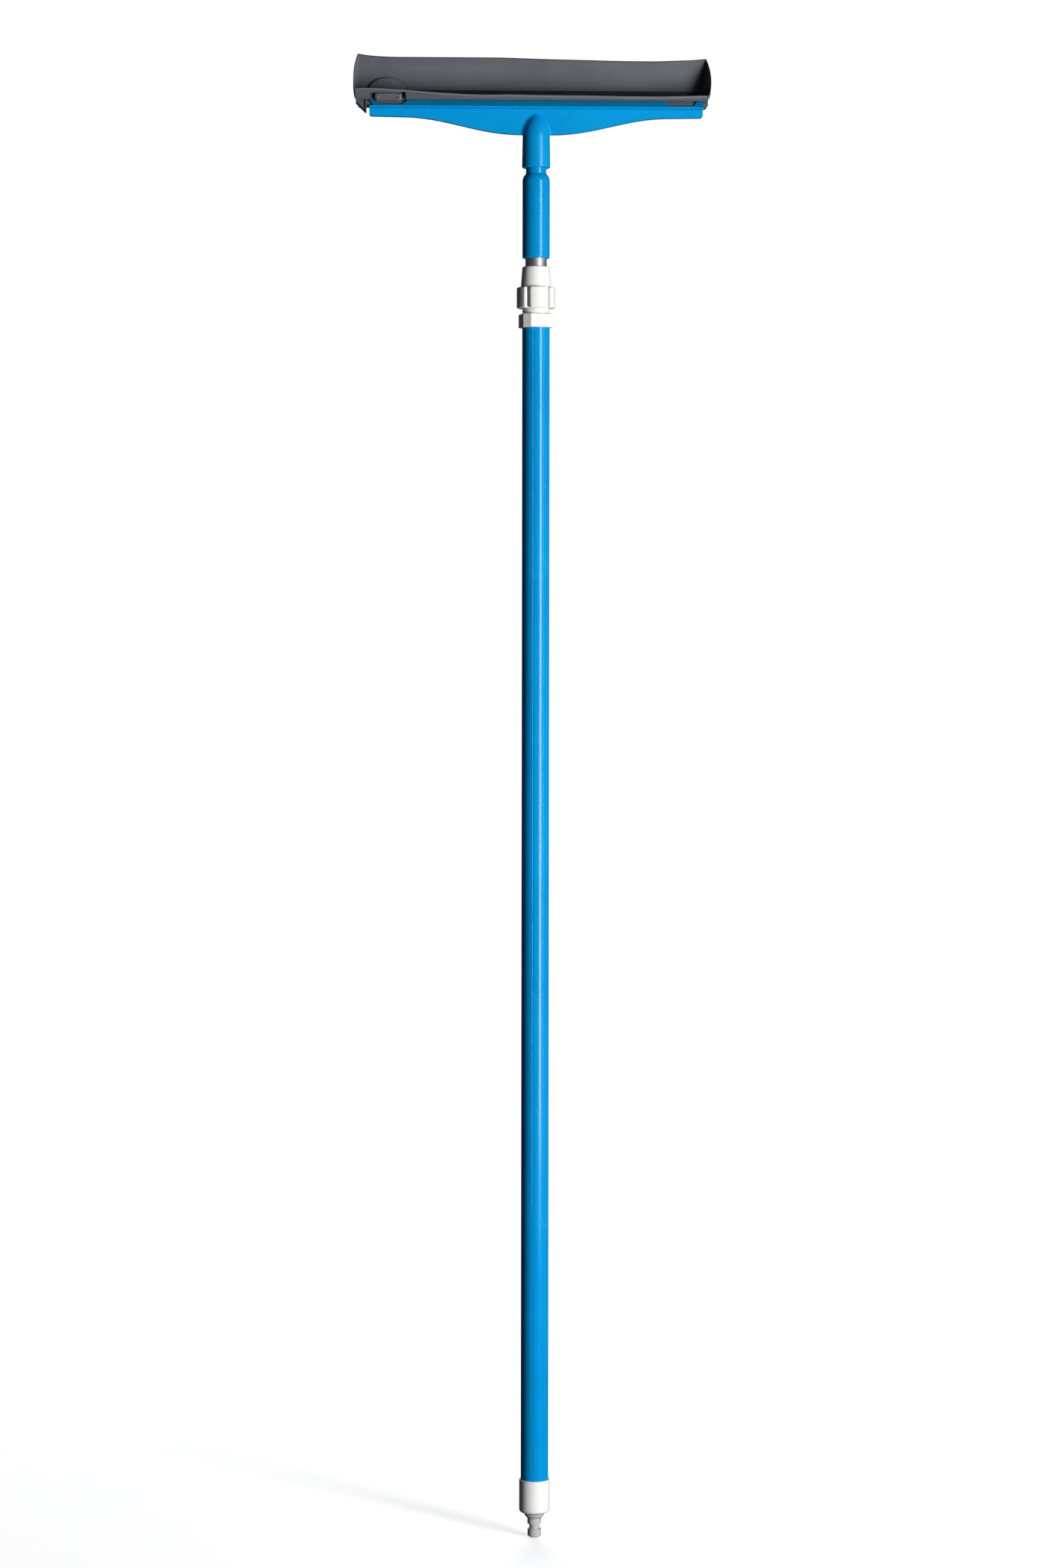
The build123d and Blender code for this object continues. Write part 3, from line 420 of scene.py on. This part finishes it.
@dataclass
class CollectorTrough:
    """The soft rubber trough: low front flap with a beaded lip, floor, tall back blade and end walls.

    Heights are measured from the trough's underside, in millimetres, and x from the pole's axis.
    """

    finish: SoftRubber
    skin: float = 1.7
    floor_height: float = 0.9
    wall_foot_y: float = 11.0
    wall_top_y: float = 12.2
    wall_belly: float = 1.3
    heel_radius: float = 2.6
    ridge_height: float = 15.3
    ridge_step: float = 0.9
    bump_centre: tuple[float, float] = (-173.4, 12.0)
    bump_radii: tuple[float, float] = (22.6, 15.4)
    bump_depth: float = 4.2
    window: tuple[float, float] = (-192.6, -152.6)
    window_top: float = 6.3
    window_edge: float = 0.6
    pad_room: float = 3.1
    hood_depth: float = 8.5
    hood_edge: float = 0.9
    rows: tuple[int, int, int] = (18, 13, 76)
    flap_share: float = 0.36
    top_blur: float = 5.0
    lip_blur: float = 12.0
    groove_depth: float = 0.55
    line_depth: float = 0.3
    line_rise: float = 1.3
    edge_thickness: float = 1.3
    sharp_degrees: float = 58.0
    lip_knots: tuple[tuple[float, float], ...] = (
        (-212.0, 9.6), (-197.0, 10.4), (-180.0, 9.8), (-150.0, 8.1), (-120.0, 5.6), (-100.0, 4.5),
        (-80.0, 3.3), (-60.0, 3.0), (-30.0, 3.6), (0.0, 3.0), (60.0, 2.8), (100.0, 2.1), (150.0, 2.1),
        (200.0, 3.8),
    )
    top_knots: tuple[tuple[float, float], ...] = (
        (-208.0, 55.2), (-200.0, 53.6), (-190.0, 52.6), (-178.0, 51.8), (-160.0, 51.4), (-40.0, 51.4),
        (-20.0, 50.9), (0.0, 50.3), (60.0, 49.2), (100.0, 48.4), (140.0, 48.3), (160.0, 49.0),
        (185.0, 50.0), (198.0, 51.4),
    )
    ends: tuple[EndWall, EndWall] = (
        EndWall(-1, -208.4, -207.6, -211.2, -212.2, -207.8, 1.8, 1.0),
        EndWall(1, 188.7, 198.0, 200.0, 203.2, 199.4, 1.6, 0.9),
    )
    bottom: float = field(init=False)
    lip_y: float = field(init=False)
    rail_y: float = field(init=False)

    def __post_init__(self) -> None:
        """Take the places that the frame fixes from the frame."""
        low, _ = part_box("collector_trough")
        rail_low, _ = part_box("cassette_rail")
        self.bottom = low[2] / MM
        self.lip_y = low[1] / MM + self.skin / 2
        self.rail_y = rail_low[1] / MM

    @staticmethod
    def profile(x: np.ndarray, knots: Sequence[tuple[float, float]], blur: float) -> np.ndarray:
        """Return a smooth curve through the knots.

        Args:
            x: Where to read it.
            knots: Its (x, height) points.
            blur: How far the corners are smoothed, in millimetres.
        """
        places, heights = np.array(knots).T
        offsets = np.linspace(-blur, blur, 9)
        weights = np.cos(offsets / blur * math.pi / 2.2)
        total = sum(w * np.interp(x + offset, places, heights) for w, offset in zip(weights, offsets))
        return total / weights.sum()

    def over_pad(self, x: np.ndarray) -> np.ndarray:
        """Return 1 inside the front pad's window and 0 beside it."""
        left, right = self.window
        edge = self.window_edge
        return step(x, left - edge, left + edge) * (1 - step(x, right - edge, right + edge))

    def flap(self, x: np.ndarray, top: np.ndarray) -> tuple[np.ndarray, ...]:
        """Return y, height and thickness of the flap, from the lip in to the rail's front edge."""
        t = np.linspace(0.0, 1.0, x.shape[1])[None, :]
        over_pad = self.over_pad(x)
        y = self.lip_y + (self.rail_y + self.pad_room * over_pad - self.lip_y) * t
        lip = self.profile(x, self.lip_knots, self.lip_blur) - self.skin * 0.7
        z = self.floor_height + (lip - self.floor_height) * (1 - t) ** 1.25
        fall = (self.window_top - self.floor_height) * step(t, 0.92, 1.0)
        arch = self.window_top + self.skin * 0.4 - fall
        z = z + (np.maximum(arch, z) - z) * over_pad
        thick = self.skin * (0.8 + 0.75 * (1 - step(t, 0.0, 0.14))) + 0.0 * x
        return y, z, thick

    def base(self, x: np.ndarray, top: np.ndarray) -> tuple[np.ndarray, ...]:
        """Return y, height and thickness of the floor and its rounded heel."""
        count = x.shape[1]
        run = np.linspace(0.0, 1.0, count + 1)[None, 1:]
        heel_y = self.wall_foot_y - self.heel_radius
        turn = np.clip((run - 0.6) / 0.4, 0.0, 1.0) * math.pi / 2
        start = self.rail_y + self.pad_room * self.over_pad(x)
        flat = start + (heel_y - start) * np.clip(run / 0.6, 0.0, 1.0)
        y = flat + self.heel_radius * np.sin(turn) + 0.0 * x
        z = self.floor_height + self.heel_radius * (1 - np.cos(turn)) + 0.0 * x
        return y, z, self.skin + 0.0 * x

    def bump_reach(self, x: np.ndarray, z: np.ndarray) -> np.ndarray:
        """Return how far a place on the blade is from the thumb bump's middle, with its outline at 1."""
        above = np.maximum(z, self.bump_centre[1]) - self.bump_centre[1]
        return np.hypot((x - self.bump_centre[0]) / self.bump_radii[0], above / self.bump_radii[1])

    def blade(self, x: np.ndarray, top: np.ndarray) -> tuple[np.ndarray, ...]:
        """Return y, height and thickness of the blade, with its inner ridge and the thumb bump."""
        low = self.floor_height + self.heel_radius
        even = 30.0
        fixed = np.concatenate([
            np.linspace(low + 0.6, 12.0, 15), np.arange(12.4, 18.2, 0.3), np.linspace(18.7, even, 24)
        ])
        rise = np.linspace(0.0, 1.0, x.shape[1] - len(fixed) + 1)[None, 1:]
        lower = np.broadcast_to(fixed[None, :], (x.shape[0], len(fixed)))
        z = np.concatenate([lower, even + (top[:, len(fixed):] - even) * rise], axis=1)
        share = np.clip((z - low) / (top - low), 0.0, 1.0)
        y = self.wall_foot_y + (self.wall_top_y - self.wall_foot_y) * share
        y = y + self.wall_belly * np.sin(math.pi * share) + 0.5 * np.sin(x / 47.0) * share**3
        reach = self.bump_reach(x, z)
        crown = 0.72 + 0.28 * np.sqrt(np.clip(1 - reach**2, 0.0, 1.0))
        y = y - self.bump_depth * crown * step(z, low, low + 4.0) * (1 - step(reach, 0.935, 1.0))
        groove = np.exp(-(((reach - 1.012) / 0.018) ** 2))
        y = y + self.groove_depth * groove * step(z, self.ridge_height - 1.0, self.ridge_height)
        stepped = step(z, self.ridge_height - 0.2, self.ridge_height + 0.4)
        clear = step(reach, 0.98, 1.02)
        y = y - self.ridge_step * (1 - stepped) * clear
        line = np.exp(-(((z - self.ridge_height - self.line_rise) / 0.3) ** 2))
        y = y - self.line_depth * line * clear
        thick = self.skin * (1.0 - 0.35 * step(share, 0.8, 1.0))
        return y, z, thick

    def sheet(self) -> tuple[np.ndarray, np.ndarray]:
        """Return the rubber's middle surface (columns, rows, xyz) and its thickness."""
        flap, base, blade = self.rows
        groups = ((flap, self.flap), (base, self.base), (blade, self.blade))
        across_floor = np.linspace(self.flap_share, 1.0, base + 1)[1:]
        depth = np.concatenate([np.linspace(0.0, self.flap_share, flap), across_floor, np.full(blade, 1.0)])
        climb = np.concatenate([np.zeros(flap + base), np.linspace(0.0, 1.0, blade)])
        share = self.spread()
        creases = [end.crease(climb, depth) for end in self.ends]
        radius = []
        for end, crease in zip(self.ends, creases):
            run = self.edge_run(depth, climb)
            gap = np.abs(end.free_edge(run) - crease) + 40.0 * np.sin(math.pi * run)
            radius.append(np.minimum(end.round_low + (end.round_high - end.round_low) * climb, 0.4 * gap))
        left = creases[0] + radius[0]
        right = creases[1] - radius[1]
        x = left[None, :] + (right - left)[None, :] * share[:, None]
        main = self.heights(x, groups)
        parts = []
        for end, crease, bend in zip(self.ends, creases, radius):
            first = main[0 if end.side < 0 else -1]
            corner = self.heights(np.repeat(crease[None, :], 2, axis=0), groups)[0]
            column = self.wall(end, first, corner, bend, self.edge_run(depth, climb))
            parts.append(column)
        grid = np.concatenate([parts[0][::-1], main, parts[1]], axis=0)
        return grid[..., :3], grid[..., 3]

    def heights(self, x: np.ndarray, groups: Sequence[tuple[int, Any]]) -> np.ndarray:
        """Return x, y, z and thickness for a grid of x places (columns, rows)."""
        top = self.profile(x, self.top_knots, self.top_blur)
        pieces, start = [], 0
        for count, build in groups:
            part = slice(start, start + count)
            pieces.append(np.stack(build(x[:, part], top[:, part]), axis=-1))
            start += count
        stacked = np.concatenate(pieces, axis=1)
        stacked[..., 1] += self.bottom
        return np.concatenate([x[..., None], stacked], axis=-1)

    @staticmethod
    def edge_run(depth: np.ndarray, climb: np.ndarray) -> np.ndarray:
        """Return how far along the free edge each row ends, from the lip (0) to the blade's top (1)."""
        return np.clip(0.42 * depth + 0.58 * climb, 0.0, 1.0)

    def wall(
        self, end: EndWall, first: np.ndarray, corner: np.ndarray, bend: np.ndarray, run: np.ndarray
    ) -> np.ndarray:
        """Work out an end wall's columns, from the main sheet round the crease to the free edge.

        Args:
            end: The wall.
            first: The main sheet's nearest column (rows, xyz and thickness).
            corner: The crease's column.
            bend: The crease's radius in each row.
            run: How far along the free edge each row ends.

        Returns:
            Columns, rows, xyz and thickness.
        """
        edge = corner.copy()
        edge[:, 0] = end.free_edge(run)
        for axis in (1, 2):
            edge[:, axis] = corner[0, axis] + (corner[-1, axis] - corner[0, axis]) * run
        edge[:, 1] -= 2.4 * np.sin(math.pi * run)
        edge[:, 3] = self.edge_thickness
        length = np.linalg.norm(edge[:, :3] - corner[:, :3], axis=1)
        turn = corner + (edge - corner) * np.clip(bend / np.maximum(length, 1e-6), 0.0, 0.45)[:, None]
        columns = []
        for w in np.linspace(0.0, 1.0, 8)[1:]:
            columns.append((1 - w) ** 2 * first + 2 * w * (1 - w) * corner + w**2 * turn)
        for w in np.linspace(0.0, 1.0, 13)[1:]:
            column = turn + (edge - turn) * w
            column[:, 0] += end.side * 1.2 * math.sin(math.pi * w) * np.sin(math.pi * run)
            columns.append(column)
        return np.array(columns)

    def spread(self) -> np.ndarray:
        """Return the columns' shares of the length, close together round the bump and the pad's window."""
        start, stop = self.ends[0].crease_low, self.ends[1].crease_low
        fine = np.concatenate([
            np.linspace(start + 3.0, -198.0, 7), np.arange(-197.6, -148.0, 0.4),
            np.arange(-146.0, 178.0, 3.0), np.linspace(179.0, stop - 5.0, 6),
        ])
        share = (fine - start) / (stop - start)
        return np.concatenate([[0.0], share, [1.0]])

    def build(self) -> bpy.types.Object:
        """Build the closed rubber shell and hand it to the frame."""
        grid, thick = self.sheet()
        normal = np.cross(np.gradient(grid, axis=0), np.gradient(grid, axis=1))
        size = np.linalg.norm(normal, axis=-1, keepdims=True)
        normal = normal / np.maximum(size, 1e-9)
        for row, neighbour in ((0, 1), (-1, -2)):
            weak = size[:, row, 0] < 1e-3
            normal[weak, row] = normal[weak, neighbour]
        columns, rows = thick.shape
        numbers = np.arange(2 * columns * rows).reshape(2, columns, rows)
        offset = normal * thick[..., None] * 0.5
        sides = [(grid + offset).reshape(-1, 3), (grid - offset).reshape(-1, 3)]
        points = list(np.concatenate(sides) * MM)
        faces = []
        for layer, order in ((0, 1), (1, -1)):
            n = numbers[layer]
            for quad in zip(n[:-1, :-1].flat, n[1:, :-1].flat, n[1:, 1:].flat, n[:-1, 1:].flat):
                faces.append(quad[::order])
        border = [(c, 0) for c in range(columns)] + [(columns - 1, r) for r in range(1, rows)]
        border += [(c, rows - 1) for c in range(columns - 2, -1, -1)]
        border += [(0, r) for r in range(rows - 2, 0, -1)]
        rim_start = len(points)
        for c, r in border:
            inner = grid[min(max(c, 1), columns - 2), min(max(r, 1), rows - 2)]
            away = grid[c, r] - inner
            away = away / max(float(np.linalg.norm(away)), 1e-3)
            points.append((grid[c, r] + away * thick[c, r] * 0.35) * MM)
        for i, (c, r) in enumerate(border):
            j = (i + 1) % len(border)
            c2, r2 = border[j]
            faces.append((numbers[0, c, r], rim_start + i, rim_start + j, numbers[0, c2, r2]))
            faces.append((rim_start + i, numbers[1, c, r], numbers[1, c2, r2], rim_start + j))
        piece = mesh_piece("trough_rubber", points, faces)
        piece.data.set_sharp_from_angle(angle=math.radians(self.sharp_degrees))
        self.mark(piece)
        piece.data.materials.append(self.finish.build())
        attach(piece, "cassette")
        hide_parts("collector_trough")
        LOG.info("built %s with %d points", piece.name, len(piece.data.vertices))
        return piece

    def mark(self, piece: bpy.types.Object) -> None:
        """Mark painted shade (blade top, below the ridge, round the bump, right end, pad window) and a
        painted lip highlight.
        """
        mesh = piece.data
        count = len(mesh.vertices)
        spots, facing = np.empty(count * 3), np.empty(count * 3)
        mesh.vertices.foreach_get("co", spots)
        mesh.vertex_normals.foreach_get("vector", facing)
        spots, facing = spots.reshape(-1, 3) / MM, facing.reshape(-1, 3)
        height = spots[:, 2] - self.bottom
        top = self.profile(spots[:, 0], self.top_knots, self.top_blur)
        # Painted shade on the blade's top edge, which faces up, away from the lights.
        rim = step(height - top, -0.5, 0.1) * (spots[:, 1] > 5.0)
        front = (facing[:, 1] < -0.3) & (spots[:, 1] > self.rail_y)
        reach = self.bump_reach(spots[:, 0], height)
        # Painted shadow on the blade's inner face below the ridge, where the lip shades it; kept off the
        # bump.
        low = 1 - step(height, self.ridge_height - 2.3, self.ridge_height - 1.7)
        low = low * front * (1 - (1 - step(reach, 0.93, 0.97)) * step(height, 6.5, 8.0))
        # Painted shade line round the thumb bump's outline.
        outline = np.exp(-(((reach - 1.01) / 0.03) ** 2)) * (height > self.ridge_height - 2.0) * front
        # Painted shade on the flap's underside round the front pad's window, where the pad sits in shadow.
        left, right_end = self.window
        hood = (spots[:, 0] > left - self.hood_edge) & (spots[:, 0] < right_end + self.hood_edge)
        hood = hood & (spots[:, 1] > self.rail_y - self.hood_depth) & (spots[:, 1] < self.rail_y + 1.0)
        hood = hood & (facing[:, 2] < -0.15)
        # Painted shade on the right end wall's inner face, which faces away from the lights.
        right = (facing[:, 0] < -0.55) & (spots[:, 0] > self.ends[1].crease_low - 1.0)
        soil = np.clip(rim + low + outline + right + hood, 0.0, 1.0)
        # Painted highlight: the lip's edge is paled where it catches the light.
        wear = (1 - step(spots[:, 1], self.lip_y - 0.2, self.lip_y + 0.6)) * (facing[:, 2] > -0.35)
        for name, values in (("soil", soil), ("wear", wear)):
            mark = mesh.attributes.new(name, "FLOAT", "POINT")
            mark.data.foreach_set("value", values.astype(np.float32))


# ---- Latch pads -----------------------------------------------------------------------------
@dataclass
class LatchPad:
    """A convex press pad with soft edges and a shallow dish for the thumb in its face."""

    node: str
    body: str
    finish: MouldedPlastic
    rise: float = 1.3
    sideways: float = -1.6
    crown: float = 1.0
    edge_round: float = 1.5
    lower_taper: float = 4.0
    dish_depth: float = 1.1
    dish_reach: tuple[float, float] = (0.84, 0.72)
    dish_drop: float = 0.18
    top_droop: float = 0.5
    sharp_degrees: float = 50.0
    across: int = 48
    up: int = 24
    power: float = 6.0

    def build(self) -> bpy.types.Object:
        """Build the pad round its node's box and hand it to the frame."""
        low, high = (np.array(corner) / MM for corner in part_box(self.node))
        outward = -1.0 if low[1] < 0 else 1.0
        width, height = high[0] - low[0], high[2] - low[2] + self.rise
        face, root = (low[1], high[1]) if outward < 0 else (high[1], low[1])
        middle_x = (low[0] + high[0]) / 2 + self.sideways
        middle_z = (low[2] + high[2] + self.rise) / 2
        u, v = np.meshgrid(np.linspace(-1, 1, self.across), np.linspace(-1, 1, self.up), indexing="ij")
        taper = 1 - self.lower_taper / width * np.clip(-v, 0.0, 1.0) ** 2
        x = middle_x + u * width / 2 * taper
        z = middle_z + v * height / 2 - self.top_droop * np.clip(v, 0.0, 1.0) * u**2
        side = np.abs(u) ** (self.power * 3) + np.abs(v) ** self.power
        fall = self.edge_round * np.clip(side, 0.0, 1.6)
        wide, tall = self.dish_reach
        dish = np.clip(1 - (u / wide) ** 2 - ((v + self.dish_drop) / tall) ** 2, 0.0, 1.0)
        depth = self.crown * (0.7 * u**2 + 0.3 * v**2) + fall + self.dish_depth * step(dish, 0.0, 0.55)
        front = face - outward * depth
        back = np.full_like(front, root)
        points = []
        for y in (front, back):
            points.extend(np.stack([x, y, z], axis=-1).reshape(-1, 3) * MM)
        n = np.arange(2 * u.size).reshape(2, *u.shape)
        faces = []
        for layer in n:
            corners = (layer[:-1, :-1], layer[1:, :-1], layer[1:, 1:], layer[:-1, 1:])
            faces.extend(zip(*(corner.flat for corner in corners)))
        near, far = n
        for rim_near, rim_far in zip(
            (near[0], near[-1], near[:, 0], near[:, -1]), (far[0], far[-1], far[:, 0], far[:, -1])
        ):
            faces.extend(zip(rim_near[:-1], rim_near[1:], rim_far[1:], rim_far[:-1]))
        piece = mesh_piece(self.node + "_shell", points, faces)
        piece.data.set_sharp_from_angle(angle=math.radians(self.sharp_degrees))
        piece.data.materials.append(self.finish.build())
        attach(piece, self.body)
        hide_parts(self.node)
        LOG.info("built %s", piece.name)
        return piece


# ---- Dressing the rigid pieces --------------------------------------------------------------
@dataclass
class RigidPieces:
    """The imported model's own rigid pieces and the finish of each."""

    sleeve: MouldedPlastic = MouldedPlastic(
        "sleeve_blue", (0.0, 0.25, 0.57), (0.0, 0.215, 0.52), 0.17, 0.10, Grain.LENGTHWISE, 900.0,
        0.000008, (0.2, 0.5, 0.75), 0.12, 0.0,
    )
    tip: MouldedPlastic = MouldedPlastic(
        "tip_blue", (0.0, 0.25, 0.57), (0.0, 0.215, 0.52), 0.17, 0.1, Grain.LENGTHWISE, 900.0, 0.00001,
        (0.02, 0.10, 0.26), 0.5, 0.0,
    )
    # The last value paints shade on the head's channel walls above 1.6172 m.
    head: MouldedPlastic = MouldedPlastic(
        "head_blue", (0.0, 0.275, 0.59), (0.0, 0.24, 0.54), 0.27, 0.10, Grain.NONE, 1400.0, 0.00003,
        (0.1, 0.4, 0.7), 0.08, 0.0, 0.0, 1.6172,
    )
    white: MouldedPlastic = MouldedPlastic(
        "clamp_white", (0.77, 0.77, 0.755), (0.72, 0.715, 0.7), 0.34, 0.12, Grain.NONE, 1000.0, 0.00003,
        (0.5, 0.49, 0.46), 0.22, 0.0, 0.12,
    )
    natural: MouldedPlastic = MouldedPlastic(
        "natural_plastic", (0.7, 0.69, 0.64), (0.62, 0.61, 0.56), 0.42, 0.1, Grain.NONE, 1000.0, 0.00003,
        (0.5, 0.5, 0.48), 0.2,
    )
    nipple: MouldedPlastic = MouldedPlastic(
        "nipple_grey", (0.5, 0.5, 0.51), (0.4, 0.4, 0.41), 0.36, 0.14, Grain.NONE, 1300.0, 0.00003,
        (0.7, 0.7, 0.7), 0.35,
    )
    rail: MouldedPlastic = MouldedPlastic(
        "rail_grey", (0.085, 0.09, 0.10), (0.06, 0.065, 0.075), 0.5, 0.14, Grain.NONE, 1300.0, 0.00004,
        (0.25, 0.25, 0.26), 0.25,
    )
    aluminium: DrawnMetal = DrawnMetal("drawn_aluminium", (0.9, 0.9, 0.9), 0.55)
    seal: SoftRubber = SoftRubber(
        "seal_black", (0.02, 0.02, 0.022), (0.012, 0.012, 0.014), (0.06, 0.06, 0.06)
    )

    def dress(self) -> None:
        """Give every carried-over node its finish."""
        plan: dict[Any, tuple[str, ...]] = {
            self.sleeve: ("outer_sleeve",),
            self.tip: ("handle_tip",),
            self.head: ("squeegee_frame",),
            self.white: ("end_cap", "clamp_body", "lock_nut"),
            self.natural: ("end_plug", "guide_bush", "lock_collet", "slide_guide"),
            self.nipple: ("hose_nipple",),
            self.rail: ("cassette_rail",),
            self.aluminium: ("outer_tube", "inner_tube"),
            self.seal: (
                "nipple_washer", "end_plug_ring", "clamp_seal", "wiper_ring", "slide_ring_lower",
                "slide_ring_upper", "tip_ring", "socket_gasket", "drain_gasket",
            ),
        }
        for finish, nodes in plan.items():
            material = finish.build()
            for node in nodes:
                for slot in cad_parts[node].material_slots:
                    slot.material = material
            LOG.info("dressed %s with %s", ", ".join(nodes), finish.name)


# ---- Studio ---------------------------------------------------------------------------------
@dataclass
class Softbox:
    """One rectangular light that looks at a point on the pole."""

    name: str
    azimuth: float
    distance: float
    height: float
    size: tuple[float, float]
    power: float
    aim: float
    colour: Colour = (1.0, 1.0, 1.0)
    glossy: bool = True

    def build(self) -> None:
        """Make the light. Azimuth 0 is straight in front, positive to the right, in degrees."""
        light = bpy.data.lights.new(self.name, "AREA")
        light.shape = "RECTANGLE"
        light.size, light.size_y = self.size
        light.energy = self.power
        light.color = self.colour
        lamp = bpy.data.objects.new(self.name, light)
        lamp.visible_glossy = self.glossy
        turn = math.radians(self.azimuth)
        lamp.location = (self.distance * math.sin(turn), -self.distance * math.cos(turn), self.height)
        aim = Vector((0.0, 0.0, self.aim)) - lamp.location
        lamp.rotation_euler = aim.to_track_quat("-Z", "Y").to_euler()
        bpy.context.scene.collection.objects.link(lamp)


@dataclass
class Studio:
    """Pale floor, white surround, soft lights from the right and the camera."""

    distance: float = 4.4
    camera_height: float = 1.02
    azimuth: float = -2.2
    roll: float = -0.078
    lens: float = 86.6
    shift_x: float = -0.0048
    shift_y: float = -0.105
    floor_radius: float = 1.2
    ambient: float = 0.04
    reflected: float = 0.03

    def camera(self) -> None:
        """Make the level camera."""
        data = bpy.data.cameras.new("camera")
        data.sensor_fit = "VERTICAL"
        data.sensor_height = 36.0
        data.lens = self.lens
        data.shift_x = self.shift_x
        data.shift_y = self.shift_y
        data.clip_end = 50.0
        eye = bpy.data.objects.new("camera", data)
        turn = math.radians(self.azimuth)
        eye.location = (self.distance * math.sin(turn), -self.distance * math.cos(turn), self.camera_height)
        eye.rotation_euler = (math.radians(90.0), math.radians(self.roll), turn)
        bpy.context.scene.collection.objects.link(eye)
        bpy.context.scene.camera = eye

    def floor(self) -> None:
        """Make the pale floor under the nipple's tip, which fades out into the white surround."""
        level = CAD_BOX[0][2] - 0.0015
        ring = 96
        points = [(0.0, 0.0, level)]
        for i in range(ring):
            turn = 2 * math.pi * i / ring
            points.append((self.floor_radius * math.cos(turn), self.floor_radius * math.sin(turn), level))
        faces = [(0, 1 + i, 1 + (i + 1) % ring) for i in range(ring)]
        piece = mesh_piece("floor", points, faces)
        g = Graph("pale_floor")
        away = g.node("ShaderNodeVectorMath", {"operation": "LENGTH"}, {0: g.place()}, "Value")
        g.finish(
            Base_Color=(0.85, 0.85, 0.85),
            Roughness=0.9,
            Emission_Color=(1.0, 1.0, 1.0),
            Emission_Strength=0.55,
            Alpha=away.within(self.floor_radius, 0.1),
        )
        piece.data.materials.append(g.material)
        piece.visible_diffuse = False
        piece.visible_glossy = False

    def surround(self) -> None:
        """Make the white surround, bright to the eye and dim as a light."""
        world = bpy.data.worlds.new("surround")
        bpy.context.scene.world = world
        world.use_nodes = True
        tree = world.node_tree
        tree.nodes.clear()
        out = tree.nodes.new("ShaderNodeOutputWorld")
        path = tree.nodes.new("ShaderNodeLightPath")
        link = tree.links.new
        socket = None
        for colour, strength, kind in (
            ((0.9, 0.95, 1.0), self.ambient, None),
            ((0.9, 0.95, 1.0), self.reflected, "Is Glossy Ray"),
            ((1.0, 1.0, 1.0), 1.0, "Is Camera Ray"),
        ):
            layer = tree.nodes.new("ShaderNodeBackground")
            layer.inputs["Color"].default_value = (*colour, 1.0)
            layer.inputs["Strength"].default_value = strength
            if kind is None:
                socket = layer.outputs[0]
                continue
            mix = tree.nodes.new("ShaderNodeMixShader")
            link(path.outputs[kind], mix.inputs[0])
            link(socket, mix.inputs[1])
            link(layer.outputs[0], mix.inputs[2])
            socket = mix.outputs[0]
        link(socket, out.inputs["Surface"])

    def build(self) -> None:
        """Set up the whole studio."""
        bpy.context.scene.view_settings.view_transform = "Standard"
        self.camera()
        self.floor()
        self.surround()
        lights = (
            Softbox("strip_right", 41.0, 2.1, 1.05, (0.34, 1.9), 27.0, 1.0),
            Softbox("key_right", 37.0, 3.6, 0.45, (1.5, 1.4), 150.0, 1.1, glossy=False),
            Softbox("back", 180.0, 2.4, 1.5, (1.6, 1.6), 50.0, 1.1, glossy=False),
        )
        for light in lights:
            light.build()
        LOG.info("studio ready")


def write_sizes() -> None:
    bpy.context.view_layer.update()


def main() -> None:
    """Build the studio and the pieces in order."""
    logging.basicConfig(level=logging.INFO, format="%(name)s: %(message)s")
    RigidPieces().dress()
    # The trough's rubber takes painted shade and a painted highlight from its mesh's marks.
    rubber = SoftRubber(
        "trough_grey", (0.105, 0.115, 0.126), (0.086, 0.094, 0.104), (0.21, 0.215, 0.23), 0.5, True
    )
    pad_finish = MouldedPlastic(
        "pad_grey", (0.105, 0.11, 0.125), (0.085, 0.09, 0.1), 0.2, 0.12, Grain.NONE, 900.0, 0.00003,
        (0.25, 0.25, 0.27), 0.2,
    )
    CollectorTrough(rubber).build()
    LatchPad("latch_pad_front", "front_latch", pad_finish).build()
    LatchPad("latch_pad_back", "back_latch", pad_finish).build()
    Studio().build()
    write_sizes()


if __name__ == "__main__":
    main()
